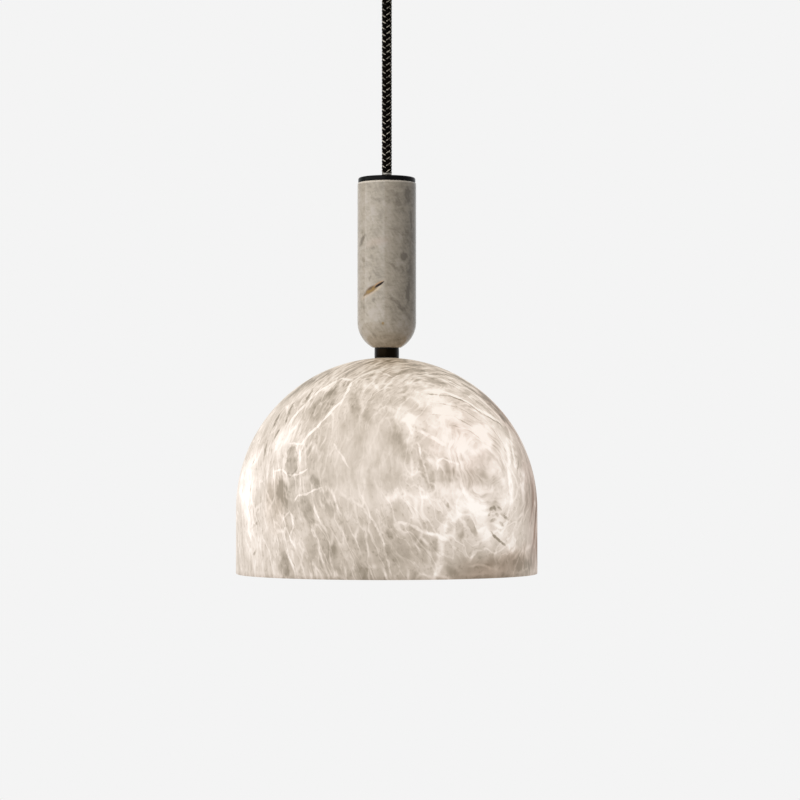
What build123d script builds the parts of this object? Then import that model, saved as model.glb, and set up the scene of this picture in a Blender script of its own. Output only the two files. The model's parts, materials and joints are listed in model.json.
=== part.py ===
from build123d import *
import os
from math import acos, cos, degrees, radians, sin, sqrt, tan

# Pendant lamp: a lit stone dome under a stone handle, hung from a ceiling canopy on a textile cord.
# Millimetres. The origin is the middle of the ceiling plane, +Z points up into the ceiling.

# Stone shade: a hemisphere that runs on as a straight skirt
shade_radius = 100.0
shade_skirt_height = 43.5
shade_wall = 8.0
shade_rim_round = 0.8

# Stone handle: a cylinder with a half-round lower end, cut flat where the neck meets it
handle_radius = 19.6
handle_height = 110.1
handle_edge_chamfer = 0.6

# Neck between the two stones: a metal spacer between two soft washers
neck_radius = 8.2
neck_spacer_height = 6.0
neck_washer_height = 0.5
neck_washer_inset = 0.2
handle_seat_margin = 1.0
shade_seat_margin = 0.4

# Top cap: a thin disc with a boss that reaches down into the handle
cap_inset = 0.5
cap_height = 3.4
cap_edge_round = 1.2
cap_boss_wall = 4.0
cap_thread_length = 8.0

# Cord: a sheath with three cores, covered by a textile braid
sheath_radius = 2.9
braid_thickness = 0.3
core_radius = 1.0
core_circle_radius = 1.4
core_arc_share = 0.45
canopy_live_angle, canopy_neutral_angle, canopy_earth_angle = 60, -60, 180
holder_live_angle, holder_neutral_angle, holder_earth_angle = 30, 150, -90
cord_drop_length = 125.0
cord_end_room = 1.0

# Ferrule that ends the braid and stands up out of the cap
ferrule_wall = 0.35
ferrule_stand = 3.1
ferrule_grip_length = 6.0

# Swing of the lamp on its cord, in degrees to each side
swing_limit = 30.0
swing_spare = 0.5
swing_gap = 0.3
pivot_drop = 1.5
cord_root_length = 3.5

# Threaded tube and its flat hexagon nuts
tube_wall = 1.0
tube_bore_room = 1.1
tube_end_length = 1.5
nut_wall = 2.0
nut_height = 3.5

# Clamp under the dome
clamp_plate_radius = 19.0
clamp_plate_height = 2.0
shade_gasket_height = 1.0
shade_gasket_inset = 0.5
tube_bare_length = 3.0

# Holder cup and ceramic lampholder with two pin slots
cup_wall = 1.0
cup_top_height = 1.5
holder_roof_height = 2.5
slot_depth = 10.5
slot_end_room = 0.5
pin_spacing = 9.0
contact_leaf = 0.4
contact_room = 0.35
holder_screw_radius = 1.5
holder_screw_reach = 2.0

# Cores between the cord's lower end and the lampholder
core_lead_length = 4.0
core_bend_length = 6.0
core_entry_length = 2.0
earth_core_room = 3.0

# Earth tags: a ring, a tongue and a crimp barrel
tag_height = 0.8
tag_ring_margin = 0.8
tag_tongue_width = 3.0
lug_wall = 0.55
lug_length = 6.0
lug_insertion = 3.0

# Two-pin bulb
bulb_base_height = 14.0
bulb_base_inset = 0.5
bulb_cover_radius = 8.5
bulb_cover_height = 40.0
bulb_cover_wall = 0.8
bulb_spigot_height = 3.0
light_rod_radius = 4.5
light_rod_room = 11.0
pin_wire_radius = 0.5
pin_loop_radius = 1.2
pin_tip_room = 1.9
pin_root_depth = 2.0

# Ceiling bracket: a strap with two ears turned down
ceiling_hole_spacing = 76.0
ceiling_hole_radius = 2.25
ceiling_cable_hole_radius = 6.0
bracket_width = 20.0
bracket_thickness = 2.0
bracket_end_room = 9.5
ear_corner_room = 1.8

# Canopy cover: a shallow cup closed by the ceiling
canopy_height = 30.0
canopy_wall = 1.2
canopy_corner_round = 5.0

# Gland that holds the cord at the canopy
gland_stem_wall = 1.4
gland_collar_wall = 4.4
gland_collar_height = 14.0
gland_edge_round = 1.5
gland_mouth_round = 1.2
gland_stem_spare = 1.3
gland_washer_height = 1.0
gland_washer_width = 3.8

# Terminal block with two brass barrels
block_length = 16.0
block_height = 13.0
block_side_wall = 1.6
block_hole_room = 4.8
block_web = 0.4
barrel_wall = 1.7
barrel_bore_room = 0.5
barrel_inset = 1.0
terminal_screw_radius = 1.5
terminal_screw_spacing = 8.0
terminal_screw_recess = 1.0
core_insertion = 5.0

# Screws
grub_radius = 2.0
grub_recess = 0.4
screw_radius = 2.0
screw_head_radius = 3.8
screw_head_height = 2.2
screw_slot_width = 0.9
screw_slot_depth = 0.9
screw_spare = 2.0
earth_screw_room = 11.0
block_screw_radius = 1.5
block_screw_head_radius = 2.8
block_screw_head_height = 2.0
ceiling_margin = 0.3

# Clearances: a thread in its hole, a metal part in its seat, and metal or a bulb beside stone
thread_clearance = 0.05
fit_clearance = 0.2
stone_clearance = 0.5
bulb_clearance = 0.3
cord_clearance = 0.4

# Radii that follow from the sizes above
cord_radius = sheath_radius + braid_thickness
ferrule_bore = sheath_radius + thread_clearance
ferrule_radius = ferrule_bore + ferrule_wall
tube_bore = sheath_radius + tube_bore_room
tube_radius = tube_bore + tube_wall
tube_hole = tube_radius + thread_clearance
stone_hole = tube_radius + stone_clearance
cap_radius = handle_radius - cap_inset
cap_boss_radius = tube_hole + cap_boss_wall
handle_seat_radius = neck_radius + handle_seat_margin
handle_counterbore = cap_boss_radius + stone_clearance
shade_seat_radius = neck_radius + shade_seat_margin
shade_inner_radius = shade_radius - shade_wall
shade_spot_radius = clamp_plate_radius + stone_clearance
nut_apothem = tube_radius + nut_wall
lug_bore = core_radius + fit_clearance
lug_radius = lug_bore + lug_wall
earth_lug_offset = nut_apothem + lug_radius + stone_clearance
cup_inner_radius = earth_lug_offset + lug_radius + stone_clearance
cup_radius = cup_inner_radius + cup_wall
holder_radius = cup_inner_radius - fit_clearance
holder_height = slot_depth + holder_roof_height
slot_width = 2 * (pin_wire_radius + contact_room + contact_leaf + thread_clearance)
slot_length = 2 * (pin_loop_radius + pin_wire_radius + slot_end_room)
bulb_base_radius = bulb_cover_radius - bulb_base_inset
gland_bore = cord_radius + cord_clearance
gland_stem_radius = gland_bore + gland_stem_wall
gland_collar_radius = gland_bore + gland_collar_wall
ceiling_hole_x = ceiling_hole_spacing / 2
ear_face = ceiling_hole_x + bracket_end_room
canopy_inner_radius = sqrt((ear_face + cord_clearance) ** 2 + (bracket_width / 2) ** 2)
canopy_radius = canopy_inner_radius + canopy_wall
barrel_bore_radius = core_radius + barrel_bore_room
barrel_radius = barrel_bore_radius + barrel_wall
barrel_spacing = 2 * (barrel_radius + block_screw_radius + 2 * fit_clearance + block_web)

# Levels, from the ceiling down
canopy_bottom = -canopy_height
canopy_floor = canopy_bottom + canopy_wall
ear_bottom = canopy_floor + canopy_corner_round + ear_corner_room
ear_screw_level = (ear_bottom - bracket_thickness) / 2
gland_nut_bottom = canopy_floor + gland_washer_height
gland_stem_top = gland_nut_bottom + nut_height + gland_stem_spare
upper_cord_end = gland_stem_top + cord_end_room
gland_mouth = canopy_bottom - gland_collar_height
swing_pivot = gland_mouth - pivot_drop
cord_root_top = swing_pivot + cord_root_length
cap_top = gland_mouth - cord_drop_length
cap_bottom = cap_top - cap_height
ferrule_top = cap_top + ferrule_stand
tube_top = cap_bottom - ferrule_grip_length
cap_boss_bottom = tube_top - cap_thread_length
handle_bottom = cap_bottom - handle_height
handle_round_centre = handle_bottom + sqrt(handle_radius**2 - handle_seat_radius**2)
handle_counterbore_floor = cap_boss_bottom - stone_clearance
spacer_top = handle_bottom - neck_washer_height
spacer_bottom = spacer_top - neck_spacer_height
shade_top = spacer_bottom - neck_washer_height
dome_centre = shade_top - sqrt(shade_radius**2 - shade_seat_radius**2)
shade_rim = dome_centre - shade_skirt_height
shade_ceiling = dome_centre + shade_inner_radius
clamp_plate_top = shade_ceiling - shade_gasket_height
clamp_nut_top = clamp_plate_top - clamp_plate_height
lock_nut_top = clamp_nut_top - nut_height - tube_bare_length
cup_top = lock_nut_top - nut_height
cup_ceiling = cup_top - cup_top_height
holder_nut_top = cup_ceiling - tag_height
tube_bottom = holder_nut_top - nut_height - tube_end_length
lower_cord_end = tube_bottom - cord_end_room
holder_top = lower_cord_end - core_lead_length - core_bend_length - core_entry_length
holder_bottom = holder_top - holder_height
slot_ceiling = holder_bottom + slot_depth
bulb_top = holder_bottom - bulb_clearance
bulb_base_bottom = bulb_top - bulb_base_height

os.makedirs("parts", exist_ok=True)


def finish(piece, name):
    """Label a finished piece and write its STEP file."""
    piece.part.label = name
    export_step(piece.part, f"parts/{name}.step")


def make_ring(name, outer_radius, inner_radius, top, height):
    """A flat ring below the level top, such as a washer or a gasket."""
    with BuildPart() as ring:
        with BuildSketch(Plane.XY.offset(top)):
            Circle(outer_radius)
            Circle(inner_radius, mode=Mode.SUBTRACT)
        extrude(amount=-height)
    finish(ring, name)


def make_nut(name, thread_radius, top):
    """A flat hexagon nut below the level top."""
    with BuildPart() as nut:
        with BuildSketch(Plane.XY.offset(top)):
            RegularPolygon(thread_radius + nut_wall, 6, major_radius=False)
            Circle(thread_radius + thread_clearance, mode=Mode.SUBTRACT)
        extrude(amount=-nut_height)
    finish(nut, name)


def make_grub(name, level, tip, end, radius, sides=(1,)):
    """Headless screws along Y, from a tip near the axis out to a slotted end."""
    with BuildPart() as grub:
        for side in sides:
            outside = Plane(origin=(0, side * end, level), x_dir=(1, 0, 0), z_dir=(0, side, 0))
            with BuildSketch(outside):
                Circle(radius)
            extrude(amount=tip - end)
            with BuildSketch(outside):
                Rectangle(2 * radius, screw_slot_width)
            extrude(amount=-screw_slot_depth, mode=Mode.SUBTRACT)
    finish(grub, name)


def corner_radii(points):
    """The largest arc that each corner of a core's route leaves room for."""
    radii = []
    for before, corner, after in zip(points, points[1:], points[2:]):
        run_in = Vector(corner) - Vector(before)
        run_out = Vector(after) - Vector(corner)
        half_turn = radians(run_in.get_angle(run_out)) / 2
        radii.append(core_arc_share * min(run_in.length, run_out.length) / tan(half_turn))
    return radii


def make_core(name, points):
    """One insulated core along straight runs and tangent arcs."""
    radii = corner_radii(points)
    print(name, "arc radii", [round(radius, 2) for radius in radii])
    with BuildPart() as core:
        with BuildLine() as route:
            FilletPolyline(*points, radius=radii)
        with BuildSketch(Plane(origin=route.line @ 0, z_dir=route.line % 0)):
            Circle(core_radius)
        sweep(path=route.line)
    finish(core, name)


def core_place(angle):
    """Where a core lies in the cord's section."""
    return (core_circle_radius * cos(radians(angle)), core_circle_radius * sin(radians(angle)))


# Ceiling bracket
earth_screw_x = earth_screw_room - ceiling_hole_x
block_end = ceiling_hole_x - block_hole_room
block_middle = block_end - block_length / 2
with BuildPart() as ceiling_bracket:
    with BuildSketch():
        Rectangle(2 * ear_face, bracket_width)
    extrude(amount=-bracket_thickness)
    with BuildSketch(Plane.XY.offset(-bracket_thickness)):
        with GridLocations(2 * ear_face - bracket_thickness, 0, 2, 1):
            Rectangle(bracket_thickness, bracket_width)
    extrude(amount=ear_bottom + bracket_thickness)
    with GridLocations(ceiling_hole_spacing, 0, 2, 1):
        Hole(ceiling_hole_radius)
    with BuildSketch():
        Circle(ceiling_cable_hole_radius)
        with Locations((earth_screw_x, 0)):
            Circle(screw_radius + thread_clearance)
        with Locations((block_middle, 0)):
            Circle(block_screw_radius + thread_clearance)
    extrude(amount=-bracket_thickness, mode=Mode.SUBTRACT)
    with BuildSketch(Plane.YZ):
        with Locations((0, ear_screw_level)):
            Circle(screw_radius + thread_clearance)
    extrude(amount=ear_face, both=True, mode=Mode.SUBTRACT)
finish(ceiling_bracket, "ceiling_bracket")

# Canopy cover
canopy_hole = gland_stem_radius + fit_clearance
with BuildPart() as canopy_cover:
    with BuildSketch(Plane.XZ):
        with BuildLine():
            outside = FilletPolyline(
                (canopy_radius, 0),
                (canopy_radius, canopy_bottom),
                (canopy_hole, canopy_bottom),
                radius=canopy_corner_round,
            )
            inside = FilletPolyline(
                (canopy_inner_radius, 0),
                (canopy_inner_radius, canopy_floor),
                (canopy_hole, canopy_floor),
                radius=canopy_corner_round - canopy_wall,
            )
            Line(outside @ 0, inside @ 0)
            Line(outside @ 1, inside @ 1)
        make_face()
    revolve(axis=Axis.Z)
    with BuildSketch(Plane.YZ):
        with Locations((0, ear_screw_level)):
            Circle(screw_radius + fit_clearance)
    extrude(amount=canopy_radius, both=True, mode=Mode.SUBTRACT)
finish(canopy_cover, "canopy_cover")

# Canopy side screws, through the cover into the bracket's ears
side_screw_length = canopy_radius - ear_face + bracket_thickness + screw_spare
with BuildPart() as canopy_side_screws:
    for side in (1, -1):
        seat = Plane(origin=(side * canopy_radius, 0, ear_screw_level), x_dir=(0, 1, 0), z_dir=(side, 0, 0))
        with BuildSketch(seat):
            Circle(screw_radius)
        extrude(amount=-side_screw_length)
        with BuildSketch(seat):
            Circle(screw_head_radius)
        extrude(amount=screw_head_height)
        with BuildSketch(seat.offset(screw_head_height)):
            Rectangle(2 * screw_head_radius, screw_slot_width)
        extrude(amount=-screw_slot_depth, mode=Mode.SUBTRACT)
finish(canopy_side_screws, "canopy_side_screws")

# Gland body: a threaded stem, a collar under the canopy and a rounded mouth
gland_grub_level = canopy_bottom - gland_collar_height / 2
with BuildPart() as gland_body:
    with BuildSketch(Plane.XY.offset(gland_mouth)):
        Circle(gland_collar_radius)
    extrude(amount=gland_collar_height)
    fillet(gland_body.edges().group_by(Axis.Z)[0], gland_edge_round)
    with BuildSketch(Plane.XY.offset(canopy_bottom)):
        Circle(gland_stem_radius)
    extrude(amount=gland_stem_top - canopy_bottom)
    with BuildSketch(Plane.XY.offset(gland_mouth)):
        Circle(gland_bore)
    extrude(amount=gland_stem_top - gland_mouth, mode=Mode.SUBTRACT)
    fillet(gland_body.edges().group_by(Axis.Z)[0].sort_by(SortBy.RADIUS)[0], gland_mouth_round)
    with BuildSketch(Plane.XZ):
        with Locations((0, gland_grub_level)):
            Circle(grub_radius + thread_clearance)
    extrude(amount=-gland_collar_radius, mode=Mode.SUBTRACT)
finish(gland_body, "gland_body")

make_ring(
    "gland_washer",
    gland_stem_radius + gland_washer_width,
    gland_stem_radius + fit_clearance,
    gland_nut_bottom,
    gland_washer_height,
)
make_nut("gland_nut", gland_stem_radius, gland_nut_bottom + nut_height)
make_grub(
    "gland_grub_screw",
    gland_grub_level,
    cord_radius + thread_clearance,
    gland_collar_radius - grub_recess,
    grub_radius,
)

# Terminal block, under the bracket
block_width = barrel_spacing + 2 * (barrel_radius + block_side_wall)
block_bottom = -bracket_thickness - block_height
barrel_level = -bracket_thickness - block_height / 2
block_start = block_end - block_length
with BuildPart() as terminal_block:
    with BuildSketch(Plane.XY.offset(block_bottom)):
        with Locations((block_middle, 0)):
            Rectangle(block_length, block_width)
    extrude(amount=block_height)
    with BuildSketch(Plane.YZ.offset(block_start)):
        with Locations((0, barrel_level)):
            with GridLocations(barrel_spacing, 0, 2, 1):
                Circle(barrel_radius + fit_clearance)
    extrude(amount=block_length, mode=Mode.SUBTRACT)
    with BuildSketch(Plane.XY.offset(block_bottom)):
        with Locations((block_middle, 0)):
            with GridLocations(terminal_screw_spacing, barrel_spacing, 2, 2):
                Circle(terminal_screw_radius + fit_clearance)
    extrude(amount=block_height / 2, mode=Mode.SUBTRACT)
    with BuildSketch(Plane.XY.offset(block_bottom)):
        with Locations((block_middle, 0)):
            Circle(block_screw_radius + fit_clearance)
    extrude(amount=block_height, mode=Mode.SUBTRACT)
    with BuildSketch(Plane.XY.offset(block_bottom)):
        with Locations((block_middle, 0)):
            Circle(block_screw_head_radius + fit_clearance)
    extrude(amount=block_screw_head_height, mode=Mode.SUBTRACT)
finish(terminal_block, "terminal_block")

# Brass barrels inside the block
with BuildPart() as terminal_barrels:
    with BuildSketch(Plane.YZ.offset(block_start + barrel_inset)):
        with Locations((0, barrel_level)):
            with GridLocations(barrel_spacing, 0, 2, 1):
                Circle(barrel_radius)
                Circle(barrel_bore_radius, mode=Mode.SUBTRACT)
    extrude(amount=block_length - 2 * barrel_inset)
    with BuildSketch(Plane.XY.offset(block_bottom)):
        with Locations((block_middle, 0)):
            with GridLocations(terminal_screw_spacing, barrel_spacing, 2, 2):
                Circle(terminal_screw_radius + thread_clearance)
    extrude(amount=block_height / 2, mode=Mode.SUBTRACT)
finish(terminal_barrels, "terminal_barrels")

# Clamping screws, one at each end of each barrel
terminal_screw_top = barrel_level - core_radius - thread_clearance
with BuildPart() as terminal_screws:
    with BuildSketch(Plane.XY.offset(block_bottom + terminal_screw_recess)):
        with Locations((block_middle, 0)):
            with GridLocations(terminal_screw_spacing, barrel_spacing, 2, 2):
                Circle(terminal_screw_radius)
    extrude(amount=terminal_screw_top - block_bottom - terminal_screw_recess)
    with BuildSketch(Plane.XY.offset(block_bottom + terminal_screw_recess)):
        with Locations((block_middle, 0)):
            with GridLocations(terminal_screw_spacing, barrel_spacing, 2, 2):
                Rectangle(2 * terminal_screw_radius, screw_slot_width)
    extrude(amount=screw_slot_depth, mode=Mode.SUBTRACT)
finish(terminal_screws, "terminal_screws")

# Screw that fixes the block to the bracket
with BuildPart() as block_screw:
    with BuildSketch(Plane.XY.offset(block_bottom)):
        with Locations((block_middle, 0)):
            Circle(block_screw_radius)
    extrude(amount=-ceiling_margin - block_bottom)
    with BuildSketch(Plane.XY.offset(block_bottom)):
        with Locations((block_middle, 0)):
            Circle(block_screw_head_radius)
    extrude(amount=block_screw_head_height)
    with BuildSketch(Plane.XY.offset(block_bottom)):
        with Locations((block_middle, 0)):
            Rectangle(2 * block_screw_head_radius, screw_slot_width)
    extrude(amount=screw_slot_depth, mode=Mode.SUBTRACT)
finish(block_screw, "block_screw")

# Earth tag on the bracket, with its crimp barrel towards the cord
bracket_tag_hole = screw_radius + fit_clearance
bracket_tag_radius = screw_head_radius + tag_ring_margin
bracket_lug_start = earth_screw_x + bracket_tag_radius
bracket_lug_level = -bracket_thickness - lug_radius - thread_clearance
with BuildPart() as bracket_earth_tag:
    with BuildSketch(Plane.XY.offset(-bracket_thickness)):
        with Locations((earth_screw_x, 0)):
            Circle(bracket_tag_radius)
            Rectangle(
                bracket_tag_radius + lug_length / 2,
                tag_tongue_width,
                align=(Align.MIN, Align.CENTER),
            )
            Circle(bracket_tag_hole, mode=Mode.SUBTRACT)
    extrude(amount=-tag_height)
    with BuildSketch(Plane.YZ.offset(bracket_lug_start)):
        with Locations((0, bracket_lug_level)):
            Circle(lug_radius)
    extrude(amount=lug_length)
    with BuildSketch(Plane.YZ.offset(bracket_lug_start)):
        with Locations((0, bracket_lug_level)):
            Circle(lug_bore)
    extrude(amount=lug_length, mode=Mode.SUBTRACT)
finish(bracket_earth_tag, "bracket_earth_tag")

# Earth screw, up through the tag into the bracket
earth_head_top = -bracket_thickness - tag_height
with BuildPart() as earth_screw:
    with BuildSketch(Plane.XY.offset(earth_head_top)):
        with Locations((earth_screw_x, 0)):
            Circle(screw_radius)
    extrude(amount=-ceiling_margin - earth_head_top)
    with BuildSketch(Plane.XY.offset(earth_head_top)):
        with Locations((earth_screw_x, 0)):
            Circle(screw_head_radius)
    extrude(amount=-screw_head_height)
    with BuildSketch(Plane.XY.offset(earth_head_top - screw_head_height)):
        with Locations((earth_screw_x, 0)):
            Rectangle(2 * screw_head_radius, screw_slot_width)
    extrude(amount=screw_slot_depth, mode=Mode.SUBTRACT)
finish(earth_screw, "earth_screw")

# Cores in the canopy
for core_name, core_angle, core_side in (
    ("canopy_live_core", canopy_live_angle, 1),
    ("canopy_neutral_core", canopy_neutral_angle, -1),
):
    core_x, core_y = core_place(core_angle)
    barrel_y = core_side * barrel_spacing / 2
    make_core(
        core_name,
        [
            (core_x, core_y, upper_cord_end),
            (core_x, core_y, barrel_level),
            (block_start - core_insertion, barrel_y, barrel_level),
            (block_start + core_insertion, barrel_y, barrel_level),
        ],
    )
core_x, core_y = core_place(canopy_earth_angle)
make_core(
    "canopy_earth_core",
    [
        (core_x, core_y, upper_cord_end),
        (core_x, core_y, bracket_lug_level),
        (bracket_lug_start + lug_length - lug_insertion, core_y, bracket_lug_level),
    ],
)

# Cord, fixed in the gland
with BuildPart() as gland_cord:
    with BuildSketch(Plane.XY.offset(cord_root_top)):
        Circle(cord_radius)
    extrude(amount=upper_cord_end - cord_root_top)
finish(gland_cord, "gland_cord")

# Cord at the gland's mouth, which twists there: its lower end is a ridge that the drop rocks on
slope = radians(swing_limit / 2 + swing_spare)
root_ridge = swing_pivot + swing_gap / 2
drop_ridge = swing_pivot - swing_gap / 2
ridge_sides = [Vector(sin(slope), 0, cos(slope)), Vector(-sin(slope), 0, cos(slope))]
with BuildPart() as cord_root:
    with BuildSketch(Plane.XY.offset(swing_pivot)):
        Circle(cord_radius)
    extrude(amount=cord_root_length)
    for side_normal in ridge_sides:
        split(bisect_by=Plane(origin=(0, 0, root_ridge), z_dir=side_normal), keep=Keep.TOP)
finish(cord_root, "cord_root")

# Cord from the gland's mouth down to the ferrule
with BuildPart() as cord_drop:
    with BuildSketch(Plane.XY.offset(ferrule_top)):
        Circle(cord_radius)
    extrude(amount=swing_pivot - ferrule_top)
    for side_normal in ridge_sides:
        split(bisect_by=Plane(origin=(0, 0, drop_ridge), z_dir=side_normal), keep=Keep.BOTTOM)
finish(cord_drop, "cord_drop")

make_ring("cord_ferrule", ferrule_radius, ferrule_bore, ferrule_top, ferrule_top - tube_top)

# Cord inside the ferrule and the tube, without its braid
with BuildPart() as tube_cord:
    with BuildSketch(Plane.XY.offset(lower_cord_end)):
        Circle(sheath_radius)
    extrude(amount=ferrule_top - lower_cord_end)
finish(tube_cord, "tube_cord")

# Top cap: disc with a rounded upper edge, and a boss that holds ferrule and tube
cap_hole = ferrule_radius + thread_clearance
cap_grub_level = cap_bottom - ferrule_grip_length / 2
with BuildPart() as top_cap:
    with BuildSketch(Plane.XZ):
        with BuildLine():
            edge = FilletPolyline(
                (cap_hole, cap_top),
                (cap_radius, cap_top),
                (cap_radius, cap_bottom),
                radius=cap_edge_round,
            )
            Polyline(
                edge @ 1,
                (cap_boss_radius, cap_bottom),
                (cap_boss_radius, cap_boss_bottom),
                (tube_hole, cap_boss_bottom),
                (tube_hole, tube_top),
                (cap_hole, tube_top),
                edge @ 0,
            )
        make_face()
    revolve(axis=Axis.Z)
    with BuildSketch(Plane.XZ):
        with Locations((0, cap_grub_level)):
            Circle(grub_radius + thread_clearance)
    extrude(amount=-cap_boss_radius, mode=Mode.SUBTRACT)
finish(top_cap, "top_cap")

make_grub(
    "cap_grub_screw",
    cap_grub_level,
    ferrule_radius + thread_clearance,
    cap_boss_radius - grub_recess,
    grub_radius,
)

# Stone handle
handle_round_angle = degrees(acos(handle_seat_radius / handle_radius))
with BuildPart() as stone_handle:
    with BuildSketch(Plane.XZ):
        with BuildLine():
            CenterArc((0, handle_round_centre), handle_radius, -handle_round_angle, handle_round_angle)
            Polyline(
                (handle_radius, handle_round_centre),
                (handle_radius, cap_bottom - handle_edge_chamfer),
                (handle_radius - handle_edge_chamfer, cap_bottom),
                (handle_counterbore, cap_bottom),
                (handle_counterbore, handle_counterbore_floor),
                (stone_hole, handle_counterbore_floor),
                (stone_hole, handle_bottom),
                (handle_seat_radius, handle_bottom),
            )
        make_face()
    revolve(axis=Axis.Z)
finish(stone_handle, "stone_handle")

# Neck
washer_radius = neck_radius - neck_washer_inset
tube_slip_hole = tube_radius + fit_clearance
make_ring("upper_neck_washer", washer_radius, tube_slip_hole, handle_bottom, neck_washer_height)
make_ring("neck_spacer", neck_radius, tube_slip_hole, spacer_top, neck_spacer_height)
make_ring("lower_neck_washer", washer_radius, tube_slip_hole, spacer_bottom, neck_washer_height)

# Stone shade: seated flat on top for the neck, spot-faced inside for the clamp plate
seat_angle = degrees(acos(shade_seat_radius / shade_radius))
spot_angle = degrees(acos(shade_spot_radius / shade_inner_radius))
spot_edge = dome_centre + sqrt(shade_inner_radius**2 - shade_spot_radius**2)
with BuildPart() as stone_shade:
    with BuildSketch(Plane.XZ):
        with BuildLine():
            CenterArc((0, dome_centre), shade_radius, 0, seat_angle)
            CenterArc((0, dome_centre), shade_inner_radius, 0, spot_angle)
            Polyline(
                (shade_radius, dome_centre),
                (shade_radius, shade_rim),
                (shade_inner_radius, shade_rim),
                (shade_inner_radius, dome_centre),
            )
            Polyline(
                (shade_seat_radius, shade_top),
                (stone_hole, shade_top),
                (stone_hole, shade_ceiling),
                (shade_spot_radius, shade_ceiling),
                (shade_spot_radius, spot_edge),
            )
        make_face()
    revolve(axis=Axis.Z)
    fillet(stone_shade.edges().group_by(Axis.Z)[0], shade_rim_round)
finish(stone_shade, "stone_shade")

# Threaded tube that ties cap, handle, neck, shade and holder together
make_ring("threaded_tube", tube_radius, tube_bore, tube_top, tube_top - tube_bottom)

# Clamp under the dome
gasket_radius = clamp_plate_radius - shade_gasket_inset
make_ring("shade_gasket", gasket_radius, tube_slip_hole, shade_ceiling, shade_gasket_height)
make_ring("clamp_plate", clamp_plate_radius, tube_slip_hole, clamp_plate_top, clamp_plate_height)
make_nut("clamp_nut", tube_radius, clamp_nut_top)
make_nut("holder_lock_nut", tube_radius, lock_nut_top)
make_nut("holder_nut", tube_radius, holder_nut_top)

# Earth tag in the cup: its crimp barrel hangs beside the nut
with BuildPart() as holder_earth_tag:
    with BuildSketch(Plane.XY.offset(cup_ceiling)):
        Circle(nut_apothem)
        with Locations((0, -earth_lug_offset)):
            Circle(lug_radius)
            Rectangle(2 * lug_radius, earth_lug_offset, align=(Align.CENTER, Align.MIN))
        Circle(tube_slip_hole, mode=Mode.SUBTRACT)
    extrude(amount=-tag_height)
    with BuildSketch(Plane.XY.offset(holder_nut_top)):
        with Locations((0, -earth_lug_offset)):
            Circle(lug_radius)
            Circle(lug_bore, mode=Mode.SUBTRACT)
    extrude(amount=-lug_length)
finish(holder_earth_tag, "holder_earth_tag")

# Holder cup: closed at the top on the tube, open below, where the lampholder fills it
holder_screw_level = holder_bottom + holder_height / 2
with BuildPart() as holder_cup:
    with BuildSketch(Plane.XY.offset(cup_top)):
        Circle(cup_radius)
    extrude(amount=holder_bottom - cup_top)
    with BuildSketch(Plane.XY.offset(cup_ceiling)):
        Circle(cup_inner_radius)
    extrude(amount=holder_bottom - cup_ceiling, mode=Mode.SUBTRACT)
    with BuildSketch(Plane.XY.offset(cup_top)):
        Circle(tube_slip_hole)
    extrude(amount=-cup_top_height, mode=Mode.SUBTRACT)
    with BuildSketch(Plane.XZ):
        with Locations((0, holder_screw_level)):
            Circle(holder_screw_radius + thread_clearance)
    extrude(amount=cup_radius, both=True, mode=Mode.SUBTRACT)
finish(holder_cup, "holder_cup")

# Ceramic lampholder: core holes above, pin slots below, screw recesses in its sides
core_hole = core_radius + fit_clearance
screw_tip = holder_radius - holder_screw_reach
with BuildPart() as lampholder:
    with BuildSketch(Plane.XY.offset(holder_top)):
        Circle(holder_radius)
        with GridLocations(pin_spacing, 0, 2, 1):
            Circle(core_hole, mode=Mode.SUBTRACT)
    extrude(amount=slot_ceiling - holder_top)
    with BuildSketch(Plane.XY.offset(slot_ceiling)):
        Circle(holder_radius)
        with GridLocations(pin_spacing, 0, 2, 1):
            Rectangle(slot_width, slot_length, mode=Mode.SUBTRACT)
    extrude(amount=-slot_depth)
    for side in (1, -1):
        recess = Plane(origin=(0, side * holder_radius, holder_screw_level), z_dir=(0, side, 0))
        with BuildSketch(recess):
            Circle(holder_screw_radius + fit_clearance)
        extrude(amount=-holder_screw_reach - thread_clearance, mode=Mode.SUBTRACT)
finish(lampholder, "lampholder")

make_grub("holder_side_screws", holder_screw_level, screw_tip, cup_radius, holder_screw_radius, (1, -1))

# Spring contacts: a leaf on each side of each slot, joined under the core's end
leaf_gap = slot_width - 2 * (thread_clearance + contact_leaf)
leaf_width = slot_length - 2 * fit_clearance
leaf_length = slot_depth - fit_clearance
with BuildPart() as lampholder_contacts:
    with BuildSketch(Plane.XY.offset(slot_ceiling)):
        with GridLocations(pin_spacing, 0, 2, 1):
            Rectangle(leaf_gap + 2 * contact_leaf, leaf_width)
    extrude(amount=-leaf_length)
    with BuildSketch(Plane.XY.offset(slot_ceiling - contact_leaf)):
        with GridLocations(pin_spacing, 0, 2, 1):
            Rectangle(leaf_gap, leaf_width)
    extrude(amount=-leaf_length, mode=Mode.SUBTRACT)
finish(lampholder_contacts, "lampholder_contacts")

# Cores in the holder cup
core_lead_end = lower_cord_end - core_lead_length
for core_name, core_angle, core_side in (
    ("holder_live_core", holder_live_angle, 1),
    ("holder_neutral_core", holder_neutral_angle, -1),
):
    core_x, core_y = core_place(core_angle)
    pin_x = core_side * pin_spacing / 2
    make_core(
        core_name,
        [
            (core_x, core_y, lower_cord_end),
            (core_x, core_y, core_lead_end),
            (pin_x, 0, core_lead_end - core_bend_length),
            (pin_x, 0, slot_ceiling),
        ],
    )
core_x, core_y = core_place(holder_earth_angle)
earth_turn_level = holder_top + earth_core_room + core_radius
make_core(
    "holder_earth_core",
    [
        (core_x, core_y, lower_cord_end),
        (core_x, core_y, earth_turn_level),
        (core_x, -earth_lug_offset, earth_turn_level),
        (core_x, -earth_lug_offset, holder_nut_top - lug_length + lug_insertion),
    ],
)

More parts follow.
